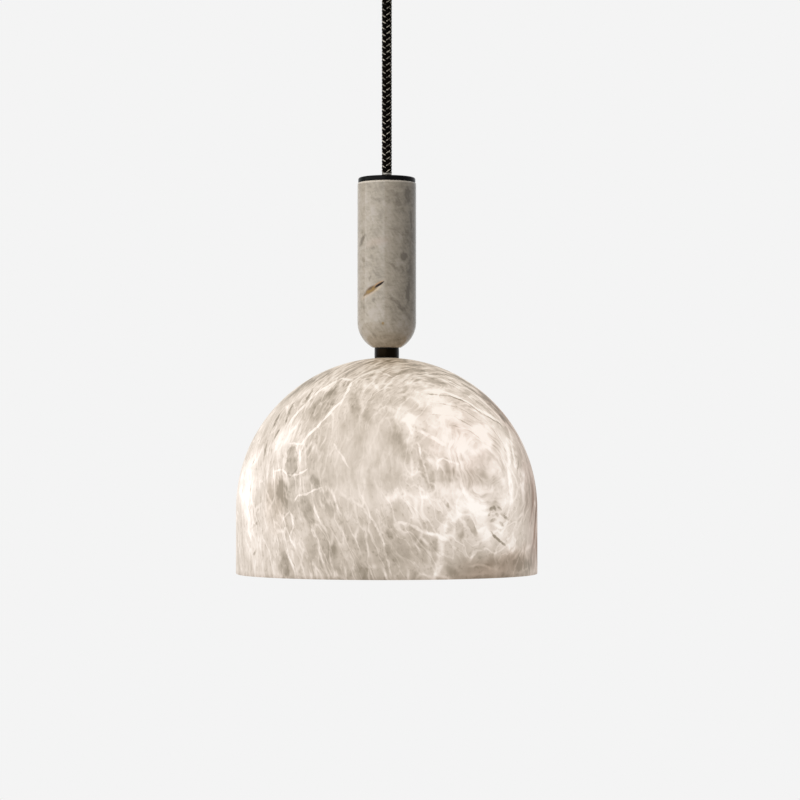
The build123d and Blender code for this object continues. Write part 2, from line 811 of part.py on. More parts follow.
# Bulb base, with holes for the feet of its two pin loops and a spigot for the cover
spigot_radius = bulb_cover_radius - bulb_cover_wall - thread_clearance
with BuildPart() as bulb_base:
    with BuildSketch(Plane.XY.offset(bulb_top)):
        Circle(bulb_base_radius)
    extrude(amount=-bulb_base_height)
    with BuildSketch(Plane.XY.offset(bulb_base_bottom)):
        Circle(spigot_radius)
    extrude(amount=-bulb_spigot_height)
    with BuildSketch(Plane.XY.offset(bulb_top)):
        with GridLocations(pin_spacing, 2 * pin_loop_radius, 2, 2):
            Circle(pin_wire_radius + thread_clearance)
    extrude(amount=-pin_root_depth, mode=Mode.SUBTRACT)
finish(bulb_base, "bulb_base")

# Pin loops
pin_shoulder = slot_ceiling - contact_leaf - pin_tip_room - pin_wire_radius - pin_loop_radius
pin_foot = bulb_top - pin_root_depth
with BuildPart() as bulb_pins:
    for side in (1, -1):
        with BuildLine(Plane.YZ.offset(side * pin_spacing / 2)) as loop:
            Line((-pin_loop_radius, pin_foot), (-pin_loop_radius, pin_shoulder))
            CenterArc((0, pin_shoulder), pin_loop_radius, 180, -180)
            Line((pin_loop_radius, pin_shoulder), (pin_loop_radius, pin_foot))
        with BuildSketch(Plane(origin=loop.line @ 0, z_dir=loop.line % 0)):
            Circle(pin_wire_radius)
        sweep(path=loop.line)
finish(bulb_pins, "bulb_pins")

# Opal cover: a thin tube closed by a dome
cover_inner_radius = bulb_cover_radius - bulb_cover_wall
cover_dome_centre = bulb_base_bottom - bulb_cover_height + bulb_cover_radius
with BuildPart() as bulb_cover:
    with BuildSketch(Plane.XZ):
        with BuildLine():
            CenterArc((0, cover_dome_centre), bulb_cover_radius, -90, 90)
            CenterArc((0, cover_dome_centre), cover_inner_radius, -90, 90)
            Line((0, cover_dome_centre - bulb_cover_radius), (0, cover_dome_centre - cover_inner_radius))
            Polyline(
                (bulb_cover_radius, cover_dome_centre),
                (bulb_cover_radius, bulb_base_bottom),
                (cover_inner_radius, bulb_base_bottom),
                (cover_inner_radius, cover_dome_centre),
            )
        make_face()
    revolve(axis=Axis.Z)
finish(bulb_cover, "bulb_cover")

# Rod of light sources inside the cover
light_rod_length = bulb_cover_height - bulb_spigot_height - light_rod_room
with BuildPart() as bulb_light_rod:
    with BuildSketch(Plane.XY.offset(bulb_base_bottom - bulb_spigot_height)):
        RegularPolygon(light_rod_radius, 8)
    extrude(amount=-light_rod_length)
finish(bulb_light_rod, "bulb_light_rod")
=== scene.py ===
"""Pendant lamp: a lit alabaster dome under a stone handle, hung on a braided cord."""
import json
from itertools import product
from math import acos, atan, cos, degrees, pi, radians, sin, sqrt

import bmesh
import bpy
from bpy.props import FloatProperty, FloatVectorProperty, IntProperty, PointerProperty
from mathutils import Euler, Matrix, Vector


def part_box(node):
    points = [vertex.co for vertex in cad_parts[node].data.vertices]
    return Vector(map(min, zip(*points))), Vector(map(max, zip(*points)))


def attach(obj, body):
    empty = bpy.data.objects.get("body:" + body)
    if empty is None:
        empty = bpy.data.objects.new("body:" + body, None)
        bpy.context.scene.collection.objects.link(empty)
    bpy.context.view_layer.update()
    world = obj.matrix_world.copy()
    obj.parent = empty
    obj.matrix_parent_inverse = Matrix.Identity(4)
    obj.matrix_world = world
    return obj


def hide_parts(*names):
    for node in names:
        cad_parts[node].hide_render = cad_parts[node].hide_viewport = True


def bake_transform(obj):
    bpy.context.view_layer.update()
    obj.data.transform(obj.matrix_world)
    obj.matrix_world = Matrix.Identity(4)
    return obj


bl_info = {
    "name": "Alabaster pendant lamp",
    "version": (1, 0, 0),
    "blender": (4, 5, 0),
    "location": "3D View > Sidebar > Lamp",
    "description": "Dresses the packed pendant lamp in stone, enamel, bronze, braid and light",
    "category": "Object",
}

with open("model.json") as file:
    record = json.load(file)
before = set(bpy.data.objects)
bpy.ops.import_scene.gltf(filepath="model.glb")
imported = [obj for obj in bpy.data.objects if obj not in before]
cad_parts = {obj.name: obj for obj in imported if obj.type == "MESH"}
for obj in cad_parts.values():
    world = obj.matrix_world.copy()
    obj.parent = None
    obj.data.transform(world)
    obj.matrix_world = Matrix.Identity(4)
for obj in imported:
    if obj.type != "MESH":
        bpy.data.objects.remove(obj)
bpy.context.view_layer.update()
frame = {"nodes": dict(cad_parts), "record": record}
bodies = frame["record"]["behaviour"]["bodies"]
MM = 0.001


def linear(code):
    """Turn an sRGB hex code into a linear colour."""
    parts = [int(code[i:i + 2], 16) / 255 for i in (0, 2, 4)]
    return [p / 12.92 if p <= 0.04045 else ((p + 0.055) / 1.055) ** 2.4 for p in parts]


def opaque(shade):
    """A socket's colour, from a hex code or from a linear colour of the panel."""
    return (*(linear(shade) if isinstance(shade, str) else shade), 1)


def colour(name, about, code):
    """A colour that the panel shows."""
    return FloatVectorProperty(name=name, description=about, subtype="COLOR", size=3, min=0, max=1,
                               default=linear(code))


def length(name, about, millimetres):
    """A length that the panel shows, with its default in millimetres."""
    return FloatProperty(name=name, description=about, subtype="DISTANCE", unit="LENGTH", min=0,
                         precision=5, default=millimetres * MM)


# Sizes and colours

class LampSizes(bpy.types.PropertyGroup):
    shade_wall: length("Shade wall", "Thickness of the stone dome", 8.0)
    shade_skirt: length("Shade skirt", "Straight part of the dome above its rim", 43.5)
    shade_round: length("Shade rim round", "Rounding of the dome's rim", 0.8)
    shade_spot: length("Spot face", "Radius of the flat inside the dome's top", 19.5)
    stone_bore: length("Stone bore", "Radius of the hole that the tube passes", 5.5)
    handle_chamfer: length("Handle chamfer", "Chamfer of the handle's upper edge", 0.6)
    handle_seat: length("Handle seat", "Radius of the flat under the handle", 9.2)
    cap_round: length("Cap round", "Rounding of the cap's upper edge", 1.2)
    cap_thickness: length("Cap thickness", "Height of the cap's disc", 3.4)
    cord_radius: length("Cord radius", "Radius over the braid", 3.4)
    braid_pitch: length("Braid pitch", "Length of one turn of a carrier", 12.6)
    yarn_radius: length("Yarn radius", "Radius of one end of yarn", 0.32)
    carriers: IntProperty(name="Carriers", description="Carriers that run each way round", default=6, min=2)
    ends: IntProperty(name="Ends", description="Ends of yarn on each carrier", default=3, min=1)


class LampColours(bpy.types.PropertyGroup):
    stone_deep: colour("Deep stone", "Clear parts of the dome, as lit", "958a7b")
    stone_ground: colour("Stone ground", "Body of the dome, as lit", "c3b8ac")
    stone_milk: colour("Milky stone", "Clouds in the dome, as lit", "e9dfd7")
    stone_vein: colour("Vein", "Veins in the dome, as lit", "fffaf6")
    stone_unlit: colour("Unlit share", "What the dome's colours keep without the bulb", "8a8886")
    stone_glow: colour("Glow", "What the bulb adds beside it", "f5f3f0")
    crown_glow: colour("Crown glow", "What the bulb adds at the crown", "b3a793")
    handle_stone: colour("Handle stone", "Unlit alabaster", "bbaf9d")
    handle_smoke: colour("Handle smoke", "Smoky parts of the unlit alabaster", "8b8071")
    needle: colour("Needle", "Dark needle grown into the handle", "1c0800")
    ochre: colour("Ochre", "Stain round the needle", "9c7621")
    enamel: colour("Enamel", "Gloss black of the cap and the canopy", "070605")
    bronze: colour("Bronze", "Blackened bronze of the neck and the gland", "140e08")
    yarn: colour("Yarn", "Dark yarn of the braid", "110c07")
    # Pale ends of the braid, which also stand in for painted highlights on its gloss
    tracer: colour("Tracer", "Pale yarn of the braid", "fdf3e0")
    lamplight: colour("Lamplight", "Colour of the lit bulb", "ffe3bd")
    ground: colour("Ground", "Floor and backdrop", "f4f4f4")


# Materials

# Where most of a noise's values lie
MIDDLE = {"From Min": 0.3, "From Max": 0.7}
# Settings of a node that lays one colour over another, and of one that tints a colour with another
LAID = {"data_type": "RGBA"}
TINTED = {"data_type": "RGBA", "blend_type": "MULTIPLY"}
STONE_IOR = 1.52
# Half length of a streak's lens for each metre of its way, so that the streaks of a vein join
JOINING = 0.75
# A patch on a face that turns away from the front is drawn out as if it looked there by these shares
LEAST_FACING, LEAST_ACROSS = 0.35, 0.4


def feed(node, feeds):
    """Set a node's inputs, each to a value or to a link from another node's output."""
    for key, value in feeds.items():
        if isinstance(value, bpy.types.NodeSocket):
            node.id_data.links.new(value, node.inputs[key])
        else:
            node.inputs[key].default_value = value


def add(tree, kind, feeds=None, stops=(), out=0, **settings):
    """Add one node with its settings, its values or links and a ramp's stops, and give one of its outputs."""
    node = tree.nodes.new("ShaderNode" + kind)
    for key, value in settings.items():
        setattr(node, key, value)
    feed(node, feeds or {})
    for number, (at, shade) in enumerate(stops):
        ramp = node.color_ramp.elements
        stop = ramp[number] if number < len(ramp) else ramp.new(at)
        stop.position = at
        stop.color = opaque(shade)
    return node.outputs[out] if node.outputs else None


def new_material(name):
    """Start a material on one shader, and give its place in the object's own coordinates."""
    material = bpy.data.materials.new(name)
    material.use_nodes = True
    tree = material.node_tree
    tree.nodes.clear()
    surface = add(tree, "BsdfPrincipled")
    add(tree, "OutputMaterial", {"Surface": surface})
    return material, tree, surface.node, add(tree, "TexCoord", out="Object")


def worked(name, pale, dark, grit, rough, metallic=0.0, relief=0.0, drawn=(1, 1, 1), specular=0.5):
    """A finish with two close tones, uneven gloss and a fine relief: grit is its size and relief its height
    in millimetres, rough its least and most roughness, and drawn stretches it along the axes."""
    material, tree, shader, place = new_material(name)
    place = add(tree, "Mapping", {"Vector": place, "Scale": [1 / d for d in drawn]})
    fine = add(tree, "TexNoise", {"Vector": place, "Scale": 1 / (grit * MM), "Detail": 3.0})
    blotch = 5 * grit
    broad = add(tree, "TexNoise", {"Vector": place, "Scale": 1 / (blotch * MM), "Detail": 2.0})
    both = add(tree, "Math", {0: fine, 1: broad}, operation="ADD")
    tone = add(tree, "MapRange", {"Value": both, "From Min": 0.75, "From Max": 1.25})
    tones = add(tree, "ValToRGB", {"Fac": tone}, stops=((0, dark), (1, pale)))
    least, most = rough
    gloss = add(tree, "MapRange", {"Value": broad, **MIDDLE, "To Min": least, "To Max": most})
    feed(shader, {"Base Color": tones, "Roughness": gloss, "Metallic": metallic,
                  "Specular IOR Level": specular})
    if relief:
        rough_face = add(tree, "Bump", {"Height": fine, "Strength": 1.0, "Distance": relief * MM})
        feed(shader, {"Normal": rough_face})
    return material


def wander(tree, place, *bends):
    """Bend a place about by noises, each of a size and with a reach in millimetres."""
    for size, reach in bends:
        noise = add(tree, "TexNoise", {"Vector": place, "Scale": 1 / (size * MM), "Detail": 2.0}, out="Color")
        centred = add(tree, "VectorMath", {0: noise, 1: (0.5, 0.5, 0.5)}, operation="SUBTRACT")
        place = add(tree, "VectorMath", {0: centred, 1: [2 * reach * MM] * 3, 2: place},
                    operation="MULTIPLY_ADD")
    return place


def grain(tree, place, turned, size, detail):
    """The value of a noise whose grains are turned, with their sizes along three axes in millimetres."""
    lain = add(tree, "Mapping", {"Vector": place, "Rotation": turned, "Scale": [s * MM for s in size]},
               vector_type="TEXTURE")
    return add(tree, "TexNoise", {"Vector": lain, "Scale": 1.0, "Detail": detail})


def polished(tree, place, height):
    """The faint ripple that polishing leaves on a stone, with its height in millimetres."""
    ripple = add(tree, "TexNoise", {"Vector": place, "Scale": 1 / (6 * MM), "Detail": 2.0})
    return add(tree, "Bump", {"Height": ripple, "Strength": 0.2, "Distance": height * MM})


def lens(tree, place, middle, axes, radii, edge, tone):
    """The share of a lens-shaped growth in the stone: tone at its heart, nothing at its skin."""
    inside = add(tree, "Mapping", {"Vector": place, "Location": middle, "Rotation": axes.to_euler(),
                                   "Scale": radii}, vector_type="TEXTURE")
    ball = add(tree, "TexGradient", {"Vector": inside}, out="Fac", gradient_type="SPHERICAL")
    return add(tree, "MapRange", {"Value": ball, "From Max": 1 - edge, "To Max": tone},
               interpolation_type="SMOOTHSTEP")


def lie(long, normal):
    """Axes of a growth that runs along the stone's face: across it, into it and along it."""
    across = long.cross(normal).normalized()
    return Matrix((across, -normal, normal.cross(across))).transposed()


def streak(tree, place, ends, half, depth, edge, tone):
    """The share of a streak between two spots, each a point and the way the face looks there; its half
    width and depth are in millimetres."""
    (a, up_a), (b, up_b) = ends
    axes = lie((b - a).normalized(), (up_a + up_b).normalized())
    radii = (half * MM, depth * MM, (b - a).length * JOINING)
    return lens(tree, place, (a + b) / 2, axes, radii, edge, tone)


def patch(tree, place, spot, lean, radii, edge, tone):
    """The share of a patch about a spot, as the front shows it: the lean of its long axis from the upright,
    and its half width, depth and half length in millimetres."""
    point, normal = spot
    wide, deep, long = radii
    run = Vector((sin(radians(lean)), 0, cos(radians(lean))))
    run.y = -(normal.x * run.x + normal.z * run.z) / min(normal.y, -LEAST_FACING)
    axes = lie(run.normalized(), normal)
    across = axes.col[0].copy()
    across.y = 0
    wide /= max(across.length, LEAST_ACROSS)
    return lens(tree, place, point, axes, (wide * MM, deep * MM, long * run.length * MM), edge, tone)


# Growths in the dome's front, with painted light on its left limb: distance right of the axis and height
# above the rim, in millimetres
VEINS = (
    # way along the face, half width, tone
    (((-7, 133.5), (-21, 127), (-29, 128), (-42, 121), (-50, 114), (-63, 98)), 1.2, 0.48),
    (((-7, 133.5), (4.5, 128.5), (11.5, 131)), 0.9, 0.4),
    (((-21.5, 126), (-28.5, 113), (-39.5, 101.5), (-54, 85.5)), 1.0, 0.6),
    (((-54, 85.5), (-61, 86)), 0.8, 0.4),
    (((-33, 86), (-31, 82), (-23, 70.5)), 0.7, 0.2),
    (((-55, 84.5), (-54.5, 69)), 0.7, 0.3),
    (((-47.5, 122), (-52, 114)), 1.3, -0.6),
    (((-60.5, 112), (-65, 99.5)), 1.2, -0.55),
    (((-69, 106), (-73.5, 96.5)), 1.4, -0.55),
    (((-69, 95.5), (-72, 89)), 1.2, -0.5),
    (((-77, 87.5), (-79.5, 74.5)), 1.5, -0.35),
    (((-85.5, 76), (-87, 72.5)), 0.9, -0.7),
    (((25, 120), (38.5, 119), (48.5, 115), (58.5, 108.5), (73.5, 100)), 1.5, 0.5),
    (((25.5, 117.5), (41, 116.5), (52, 112.5), (62, 105), (73, 99.5)), 0.8, -0.55),
    (((48, 126), (61.5, 117), (73.5, 105.5), (78, 99.5)), 2.4, -0.55),
    (((44, 131.5), (58, 123), (70, 112.5), (80, 101)), 5.0, -0.6),
    (((60, 119.5), (72, 108), (82, 96.5)), 1.6, -0.5),
    (((54, 121), (67, 110), (78, 98.5)), 1.5, 0.4),
    (((12, 136), (30, 132), (47, 124)), 1.0, -0.25),
    (((14, 133), (34, 128.5), (52, 119)), 0.9, 0.3),
    (((30, 134.5), (50, 124.5), (66, 112)), 0.8, 0.25),
    (((36, 129), (54, 117), (70, 104)), 0.8, -0.25),
    (((52.5, 117), (65, 105.5), (70, 103)), 0.6, 0.3),
    (((30, 112), (46, 109), (60, 101)), 0.5, -0.3),
    (((27, 104), (42, 103.5), (57, 95)), 0.5, -0.28),
    (((40, 98), (52, 94.5), (64, 86)), 0.5, -0.26),
    (((66, 98), (74, 88), (78, 78)), 0.6, -0.26),
    (((60, 112), (70, 103), (76, 96)), 0.6, -0.3),
    (((17, 95.5), (38.5, 84)), 1.4, 0.35),
    (((20, 85.5), (21.5, 79.5), (28, 58.5)), 0.8, 0.3),
    (((32, 69.5), (32, 74), (36, 76), (45.5, 72.5)), 0.9, 0.35),
    (((83.5, 96), (89, 85), (93, 71.5)), 1.3, -0.3),
    (((79, 98), (82, 80), (84, 69)), 1.6, 0.3),
    (((78.5, 87), (78.5, 70.5), (80.5, 46.5)), 2.6, 0.35),
    (((86, 75), (84.5, 68)), 0.7, -0.35),
    (((92.5, 63), (93.5, 50)), 1.2, -0.35),
    (((97.5, 59.5), (98.5, 46), (97.5, 34)), 1.6, -0.3),
    (((65.5, 43), (68, 46), (69.5, 43)), 1.3, -0.45),
    (((73, 41), (79, 36.5)), 1.3, -0.4),
    (((66, 36.5), (70.5, 37.5)), 1.1, -0.35),
    (((64.5, 39), (66, 42)), 0.9, -0.4),
    (((69, 41), (72, 39)), 0.9, -0.4),
    (((71, 46), (74, 43)), 0.9, -0.4),
    (((75, 39.5), (77, 42)), 0.9, -0.35),
    (((72.5, 36), (75, 33)), 0.9, -0.4),
    (((66.5, 29), (75.5, 21)), 0.9, -0.65),
    (((36.5, 50.5), (39.5, 45)), 1.2, -0.35),
    (((85.5, 18), (85.5, 3.5)), 1.1, -0.2),
    (((94, 17.5), (94, 4)), 1.1, -0.22),
    (((-73, 59.5), (-72, 67.5), (-66, 69.5), (-63, 65.5), (-56, 66), (-50, 69)), 0.7, 0.3),
    (((-58.5, 49), (-56, 53), (-49, 54.5), (-40.5, 58.5)), 0.7, 0.3),
    (((-34, 56), (-28.5, 41.5)), 0.9, 0.28),
    (((-61, 43.5), (-66.5, 35.5)), 0.7, 0.3),
    (((-60.5, 42), (-58.5, 33), (-61, 26.5), (-57.5, 19.5)), 0.8, 0.4),
    (((-45.5, 47), (-42, 37), (-36.5, 28.5)), 0.9, 0.26),
    (((-44, 25), (-40, 12), (-36.5, 1)), 1.0, 0.28),
    (((-64, 19.5), (-58.5, 6)), 0.8, 0.3),
    (((-87.5, 62), (-88, 54)), 0.8, -0.35),
    (((-82.5, 36), (-87.5, 31)), 1.0, -0.35),
    (((-83.5, 17.5), (-86, 14)), 1.2, -0.4),
    (((7, 36), (15.5, 34.5), (23, 30), (33, 28)), 1.1, 0.26),
    (((37.5, 37), (34, 26), (35, 14), (31, 2)), 2.8, 0.3),
    (((-11, 43.5), (-2, 24.5), (3, 3.5)), 0.8, 0.3),
)
PATCHES = (
    # right of the axis, above the rim, lean of its long axis, half length, half width, edge, tone
    (-60.3, 75.3, 3, 10.4, 4.3, 0.85, -0.36),
    (-40, 111, 32, 15.5, 7.5, 0.6, -0.32),
    (-27.5, 123.5, 45, 5, 3.5, 0.4, -0.2),
    (-66, 55, -14, 11, 4.6, 0.6, -0.26),
    (-49, 43, -10, 13, 4.4, 0.6, -0.24),
    (-36, 47.5, -20, 11, 5, 0.6, -0.24),
    (-45.5, 61.5, -20, 6, 3.6, 0.5, -0.16),
    (-64.5, 8.5, 0, 11, 3.6, 0.6, -0.26),
    (-34, 18.5, -35, 8, 4, 0.3, -0.16),
    (-20, 111, -10, 14, 4.6, 0.3, -0.26),
    (-11, 104, -10, 11, 6, 0.2, -0.22),
    (5, 90, 0, 9, 8, 0.3, -0.2),
    (13, 79.5, -10, 9, 5, 0.4, -0.2),
    (-46, 82, 0, 13, 10, 0.4, -0.16),
    (26, 68, -14, 15, 4.6, 0.5, -0.26),
    (38, 65.5, -60, 12, 9, 0.4, -0.22),
    (62, 63.5, -75, 20, 8, 0.2, -0.26),
    (46.5, 31, -16, 9, 4.2, 0.5, -0.26),
    (54, 33, -38, 9, 2.6, 0.6, -0.34),
    (31, 21.5, -20, 6.5, 3.6, 0.4, -0.24),
    (20, 20.5, -32, 14, 6, 0.5, -0.24),
    (2.5, 32, -12, 9, 4.5, 0.3, -0.18),
    (41, 5.5, -40, 8, 5, 0.4, -0.24),
    (50, 8, -62, 15, 8, 0.1, -0.1),
    (66, 10, -60, 18, 9, 0.1, -0.3),
    (87, 8, -76, 18, 10, 0.1, -0.32),
    (-66, 89.5, 25, 17, 8, 0.2, 0.28),
    # Painted light down the left limb, where the window lights it
    (-90, 63, 14, 33, 11, 0.05, 0.4),
    (-90, 36, -3, 32, 7, 0.05, 0.4),
    (11.5, 104.5, -60, 13, 9, 0.1, 0.4),
    (33.5, 110, -72, 22, 10, 0.2, 0.42),
    (48, 92, -62, 33, 17, 0.3, 0.36),
    (62, 89, -70, 16, 12, 0.2, 0.3),
    (51, 47.5, -58, 22, 10, 0.3, 0.36),
    (21, 50, -80, 18, 8, 0.1, 0.12),
    (6, 53, 60, 10, 6, 0.1, 0.28),
    (73, 32, -30, 12, 7, 0.3, 0.25),
    (-8, 14, -28, 40, 44, 0.1, -0.27),
    (-42, 13, -22, 26, 18, 0.05, -0.28),
    (-9, 66, -30, 22, 16, 0.05, -0.16),
    (-62, 50, -8, 32, 16, 0.05, -0.22),
    (-46, 62, -10, 26, 20, 0.05, -0.2),
    (-73, 50, 4, 17, 7, 0.1, -0.16),
    (-42, 32, -20, 14, 14, 0.05, -0.1),
    (56, 66, -20, 44, 30, 0.05, 0.16),
    (64, 98, -40, 16, 10, 0.1, 0.36),
    (44, 82, -40, 18, 12, 0.05, 0.16),
    (78, 60, 4, 32, 10, 0.1, 0.26),
    (42, 41, -50, 18, 9, 0.05, 0.24),
    (19, 124, -75, 20, 9, 0.1, 0.3),
    (-8, 20, -28, 16, 8, 0.05, 0.16),
    (-14, 131, 75, 12, 5, 0.1, 0.28),
    (17, 97, 0, 16, 13, 0.05, 0.26),
    (63, 29, -35, 12, 7, 0.1, 0.3),
    (63, 46, -30, 11, 7, 0.1, 0.26),
    (46, 38, -60, 16, 6, 0.1, 0.14),
    (-9, 11, -20, 16, 7, 0.1, 0.24),
    # Darker along the rim on the right
    (70, 0, -90, 36, 4, 0.3, -0.24),
    (19, 2, -30, 7, 5, 0.2, -0.22),
    (30, 121, -70, 14, 5, 0.1, 0.22),
    # Painted light on the upper left limb
    (-82, 89, 32, 22, 9, 0.1, 0.05),
    (-57, 64, 0, 8, 6, 0.1, -0.14),
    (75, 84, 4, 14, 7, 0.1, 0.26),
    (-83, 18, 0, 14, 9, 0.1, 0.18),
    (15, 131, -80, 10, 4, 0.1, 0.28),
    (-52, 126, 58, 30, 5.5, 0.1, -0.5),
    (89.5, 64, 4, 22, 4, 0.1, 0.25),
    (32, 80, -30, 12, 8, 0.1, 0.2),
    (-22, 39, -20, 10, 6, 0.1, 0.14),
)
TINTS = (
    # right of the axis, above the rim, lean, half length, half width, share, tint
    # Painted shade down the right limb, in a brown tone
    (99, 36, -3, 80, 17, 1.0, "8a674b"),
    (-71, 48, 0, 28, 12, 0.3, "ecddcc"),
    # Painted shade at the upper right limb
    (76, 107, -42, 36, 13, 0.95, "a78b76"),
    (74, 7, 76, 42, 15, 0.55, "dcc7b8"),
    (50, 88, 0, 42, 38, 0.5, "fdf3f1"),
)
# How much wider than its table says a vein's lens is, and how deep the growths go, in millimetres
VEIN_SKIN = 1.4
VEIN_DEPTH, CLOUD_DEPTH, TINT_DEPTH = 14, 18, 60
# Which way the layers of the dome's stone face, as their lines run over its front
BEDDING = (0.60, -0.75, 0.26)
LAYERS = (
    # thickness and length in millimetres, unevenness, half width and tone of the cream veins along them
    (13, 55, 0.1, 0.02, 0.2),
    (5, 25, 0.07, 0.026, 0.13),
    (1.8, 9, 0.045, 0.03, 0.03),
)
# Where the face follows a layer, and where the stone is calm, in the terms of the patches
FOLLOWED = (58, 74, 0, 42, 36, 0.4, 1.0)
CALM = (-14, 76, 20, 46, 38, 0.3, -0.72)


def layered(tree, tone, places, spot, crown):
    """Add the layers of the dome's stone to a tone, with the flecks and cells between them; crown is the
    share of the crown. Gives the tone, and the value of the middle layers."""
    bent, ragged, swept = places
    facing = Vector(BEDDING).normalized()
    upright = (Vector((0, 0, 1)) - facing * facing.z).normalized()
    axes = Matrix((facing, upright.cross(facing), upright)).transposed().to_euler()

    # Layers at three thicknesses, each uneven in tone and with cream veins along it
    lined = 0.0
    layers = []
    for thick, long, uneven, skin, cream in LAYERS:
        layer = grain(tree, swept, axes, (thick, long, long), 3.0)
        layers.append(layer)
        own = add(tree, "MapRange", {"Value": layer, **MIDDLE, "To Min": -uneven, "To Max": uneven})
        tone = add(tree, "Math", {0: tone, 1: own}, operation="ADD")
        lines = add(tree, "ValToRGB", {"Fac": layer}, stops=(
            (0.5 - skin, "000000"), (0.5, "ffffff"), (0.5 + skin, "000000")))
        lined = add(tree, "Math", {0: lines, 1: cream, 2: lined}, operation="MULTIPLY_ADD")

    # Small grey flecks, and cells between the layers with cream skins, here and there
    flecks = grain(tree, bent, axes, (1.7, 3, 3), 2.0)
    flecks = add(tree, "MapRange", {"Value": flecks, "From Min": 0.56, "From Max": 0.72, "To Max": -0.15})
    lined = add(tree, "Math", {0: lined, 1: flecks}, operation="ADD")
    lain = add(tree, "Mapping", {"Vector": swept, "Rotation": axes, "Scale": (6.2 * MM, 23 * MM, 23 * MM)},
               vector_type="TEXTURE")
    cells = add(tree, "TexVoronoi", {"Vector": lain, "Scale": 1.0}, feature="DISTANCE_TO_EDGE")
    skins = add(tree, "MapRange", {"Value": cells, "From Max": 0.1, "To Min": 0.26, "To Max": 0.0},
                interpolation_type="SMOOTHSTEP")
    here = add(tree, "TexNoise", {"Vector": swept, "Scale": 1 / (16 * MM), "Detail": 1.0})
    here = add(tree, "MapRange", {"Value": here, "From Min": 0.4, "From Max": 0.64})
    lined = add(tree, "Math", {0: skins, 1: here, 2: lined}, operation="MULTIPLY_ADD")

    # All of these fade over the calm middle, and where the face follows a layer, which shows as rings
    face, calm = [patch(tree, ragged, spot(right, above), lean, (wide, TINT_DEPTH, long), edge, most)
                  for right, above, lean, long, wide, edge, most in (FOLLOWED, CALM)]
    fade = add(tree, "Math", {0: face, 1: -0.8, 2: calm}, operation="MULTIPLY_ADD")
    tone = add(tree, "Math", {0: fade, 1: lined, 2: tone}, operation="MULTIPLY_ADD")
    tone = add(tree, "Math", {0: tone, 1: lined}, operation="ADD")
    rings = grain(tree, swept, axes, (0.7, 16, 16), 3.0)
    rings = add(tree, "MapRange", {"Value": rings, "From Min": 0.35, "From Max": 0.65,
                                   "To Min": -0.17, "To Max": 0.17})
    tone = add(tree, "Math", {0: face, 1: rings, 2: tone}, operation="MULTIPLY_ADD")

    # Layers show more towards the crown, where less light comes through
    for layer, uneven in zip(layers[1:], (0.34, 0.4)):
        own = add(tree, "MapRange", {"Value": layer, **MIDDLE, "To Min": -uneven, "To Max": uneven})
        tone = add(tree, "Math", {0: crown, 1: own, 2: tone}, operation="MULTIPLY_ADD")
    return tone, layers[1]


def grown(tree, tone, places, spot):
    """Add the veins and clouds, and painted light on the left limb, to a tone where the front shows them,
    stronger and weaker along their way.
    """
    bent, ragged, wavy = places
    veins = clouds_and_limb_light = 0.0
    for way, half, strength in VEINS:
        for ends in zip(way, way[1:]):
            spots = [spot(*end) for end in ends]
            share = streak(tree, wavy, spots, half * VEIN_SKIN, VEIN_DEPTH, 0.3, strength)
            veins = add(tree, "Math", {0: veins, 1: share}, operation="ADD")
    for right, above, lean, long, wide, edge, strength in PATCHES:
        share = patch(tree, ragged, spot(right, above), lean, (wide, CLOUD_DEPTH, long), edge, strength)
        clouds_and_limb_light = add(tree, "Math", {0: clouds_and_limb_light, 1: share}, operation="ADD")
    for growth, size, least, most in ((veins, 5, 0.45, 1.2), (clouds_and_limb_light, 8, 0.6, 1.25)):
        share = add(tree, "TexNoise", {"Vector": bent, "Scale": 1 / (size * MM), "Detail": 2.0})
        share = add(tree, "MapRange", {"Value": share, "From Min": 0.35, "From Max": 0.62,
                                       "To Min": least, "To Max": most})
        tone = add(tree, "Math", {0: growth, 1: share, 2: tone}, operation="MULTIPLY_ADD")
    return tone


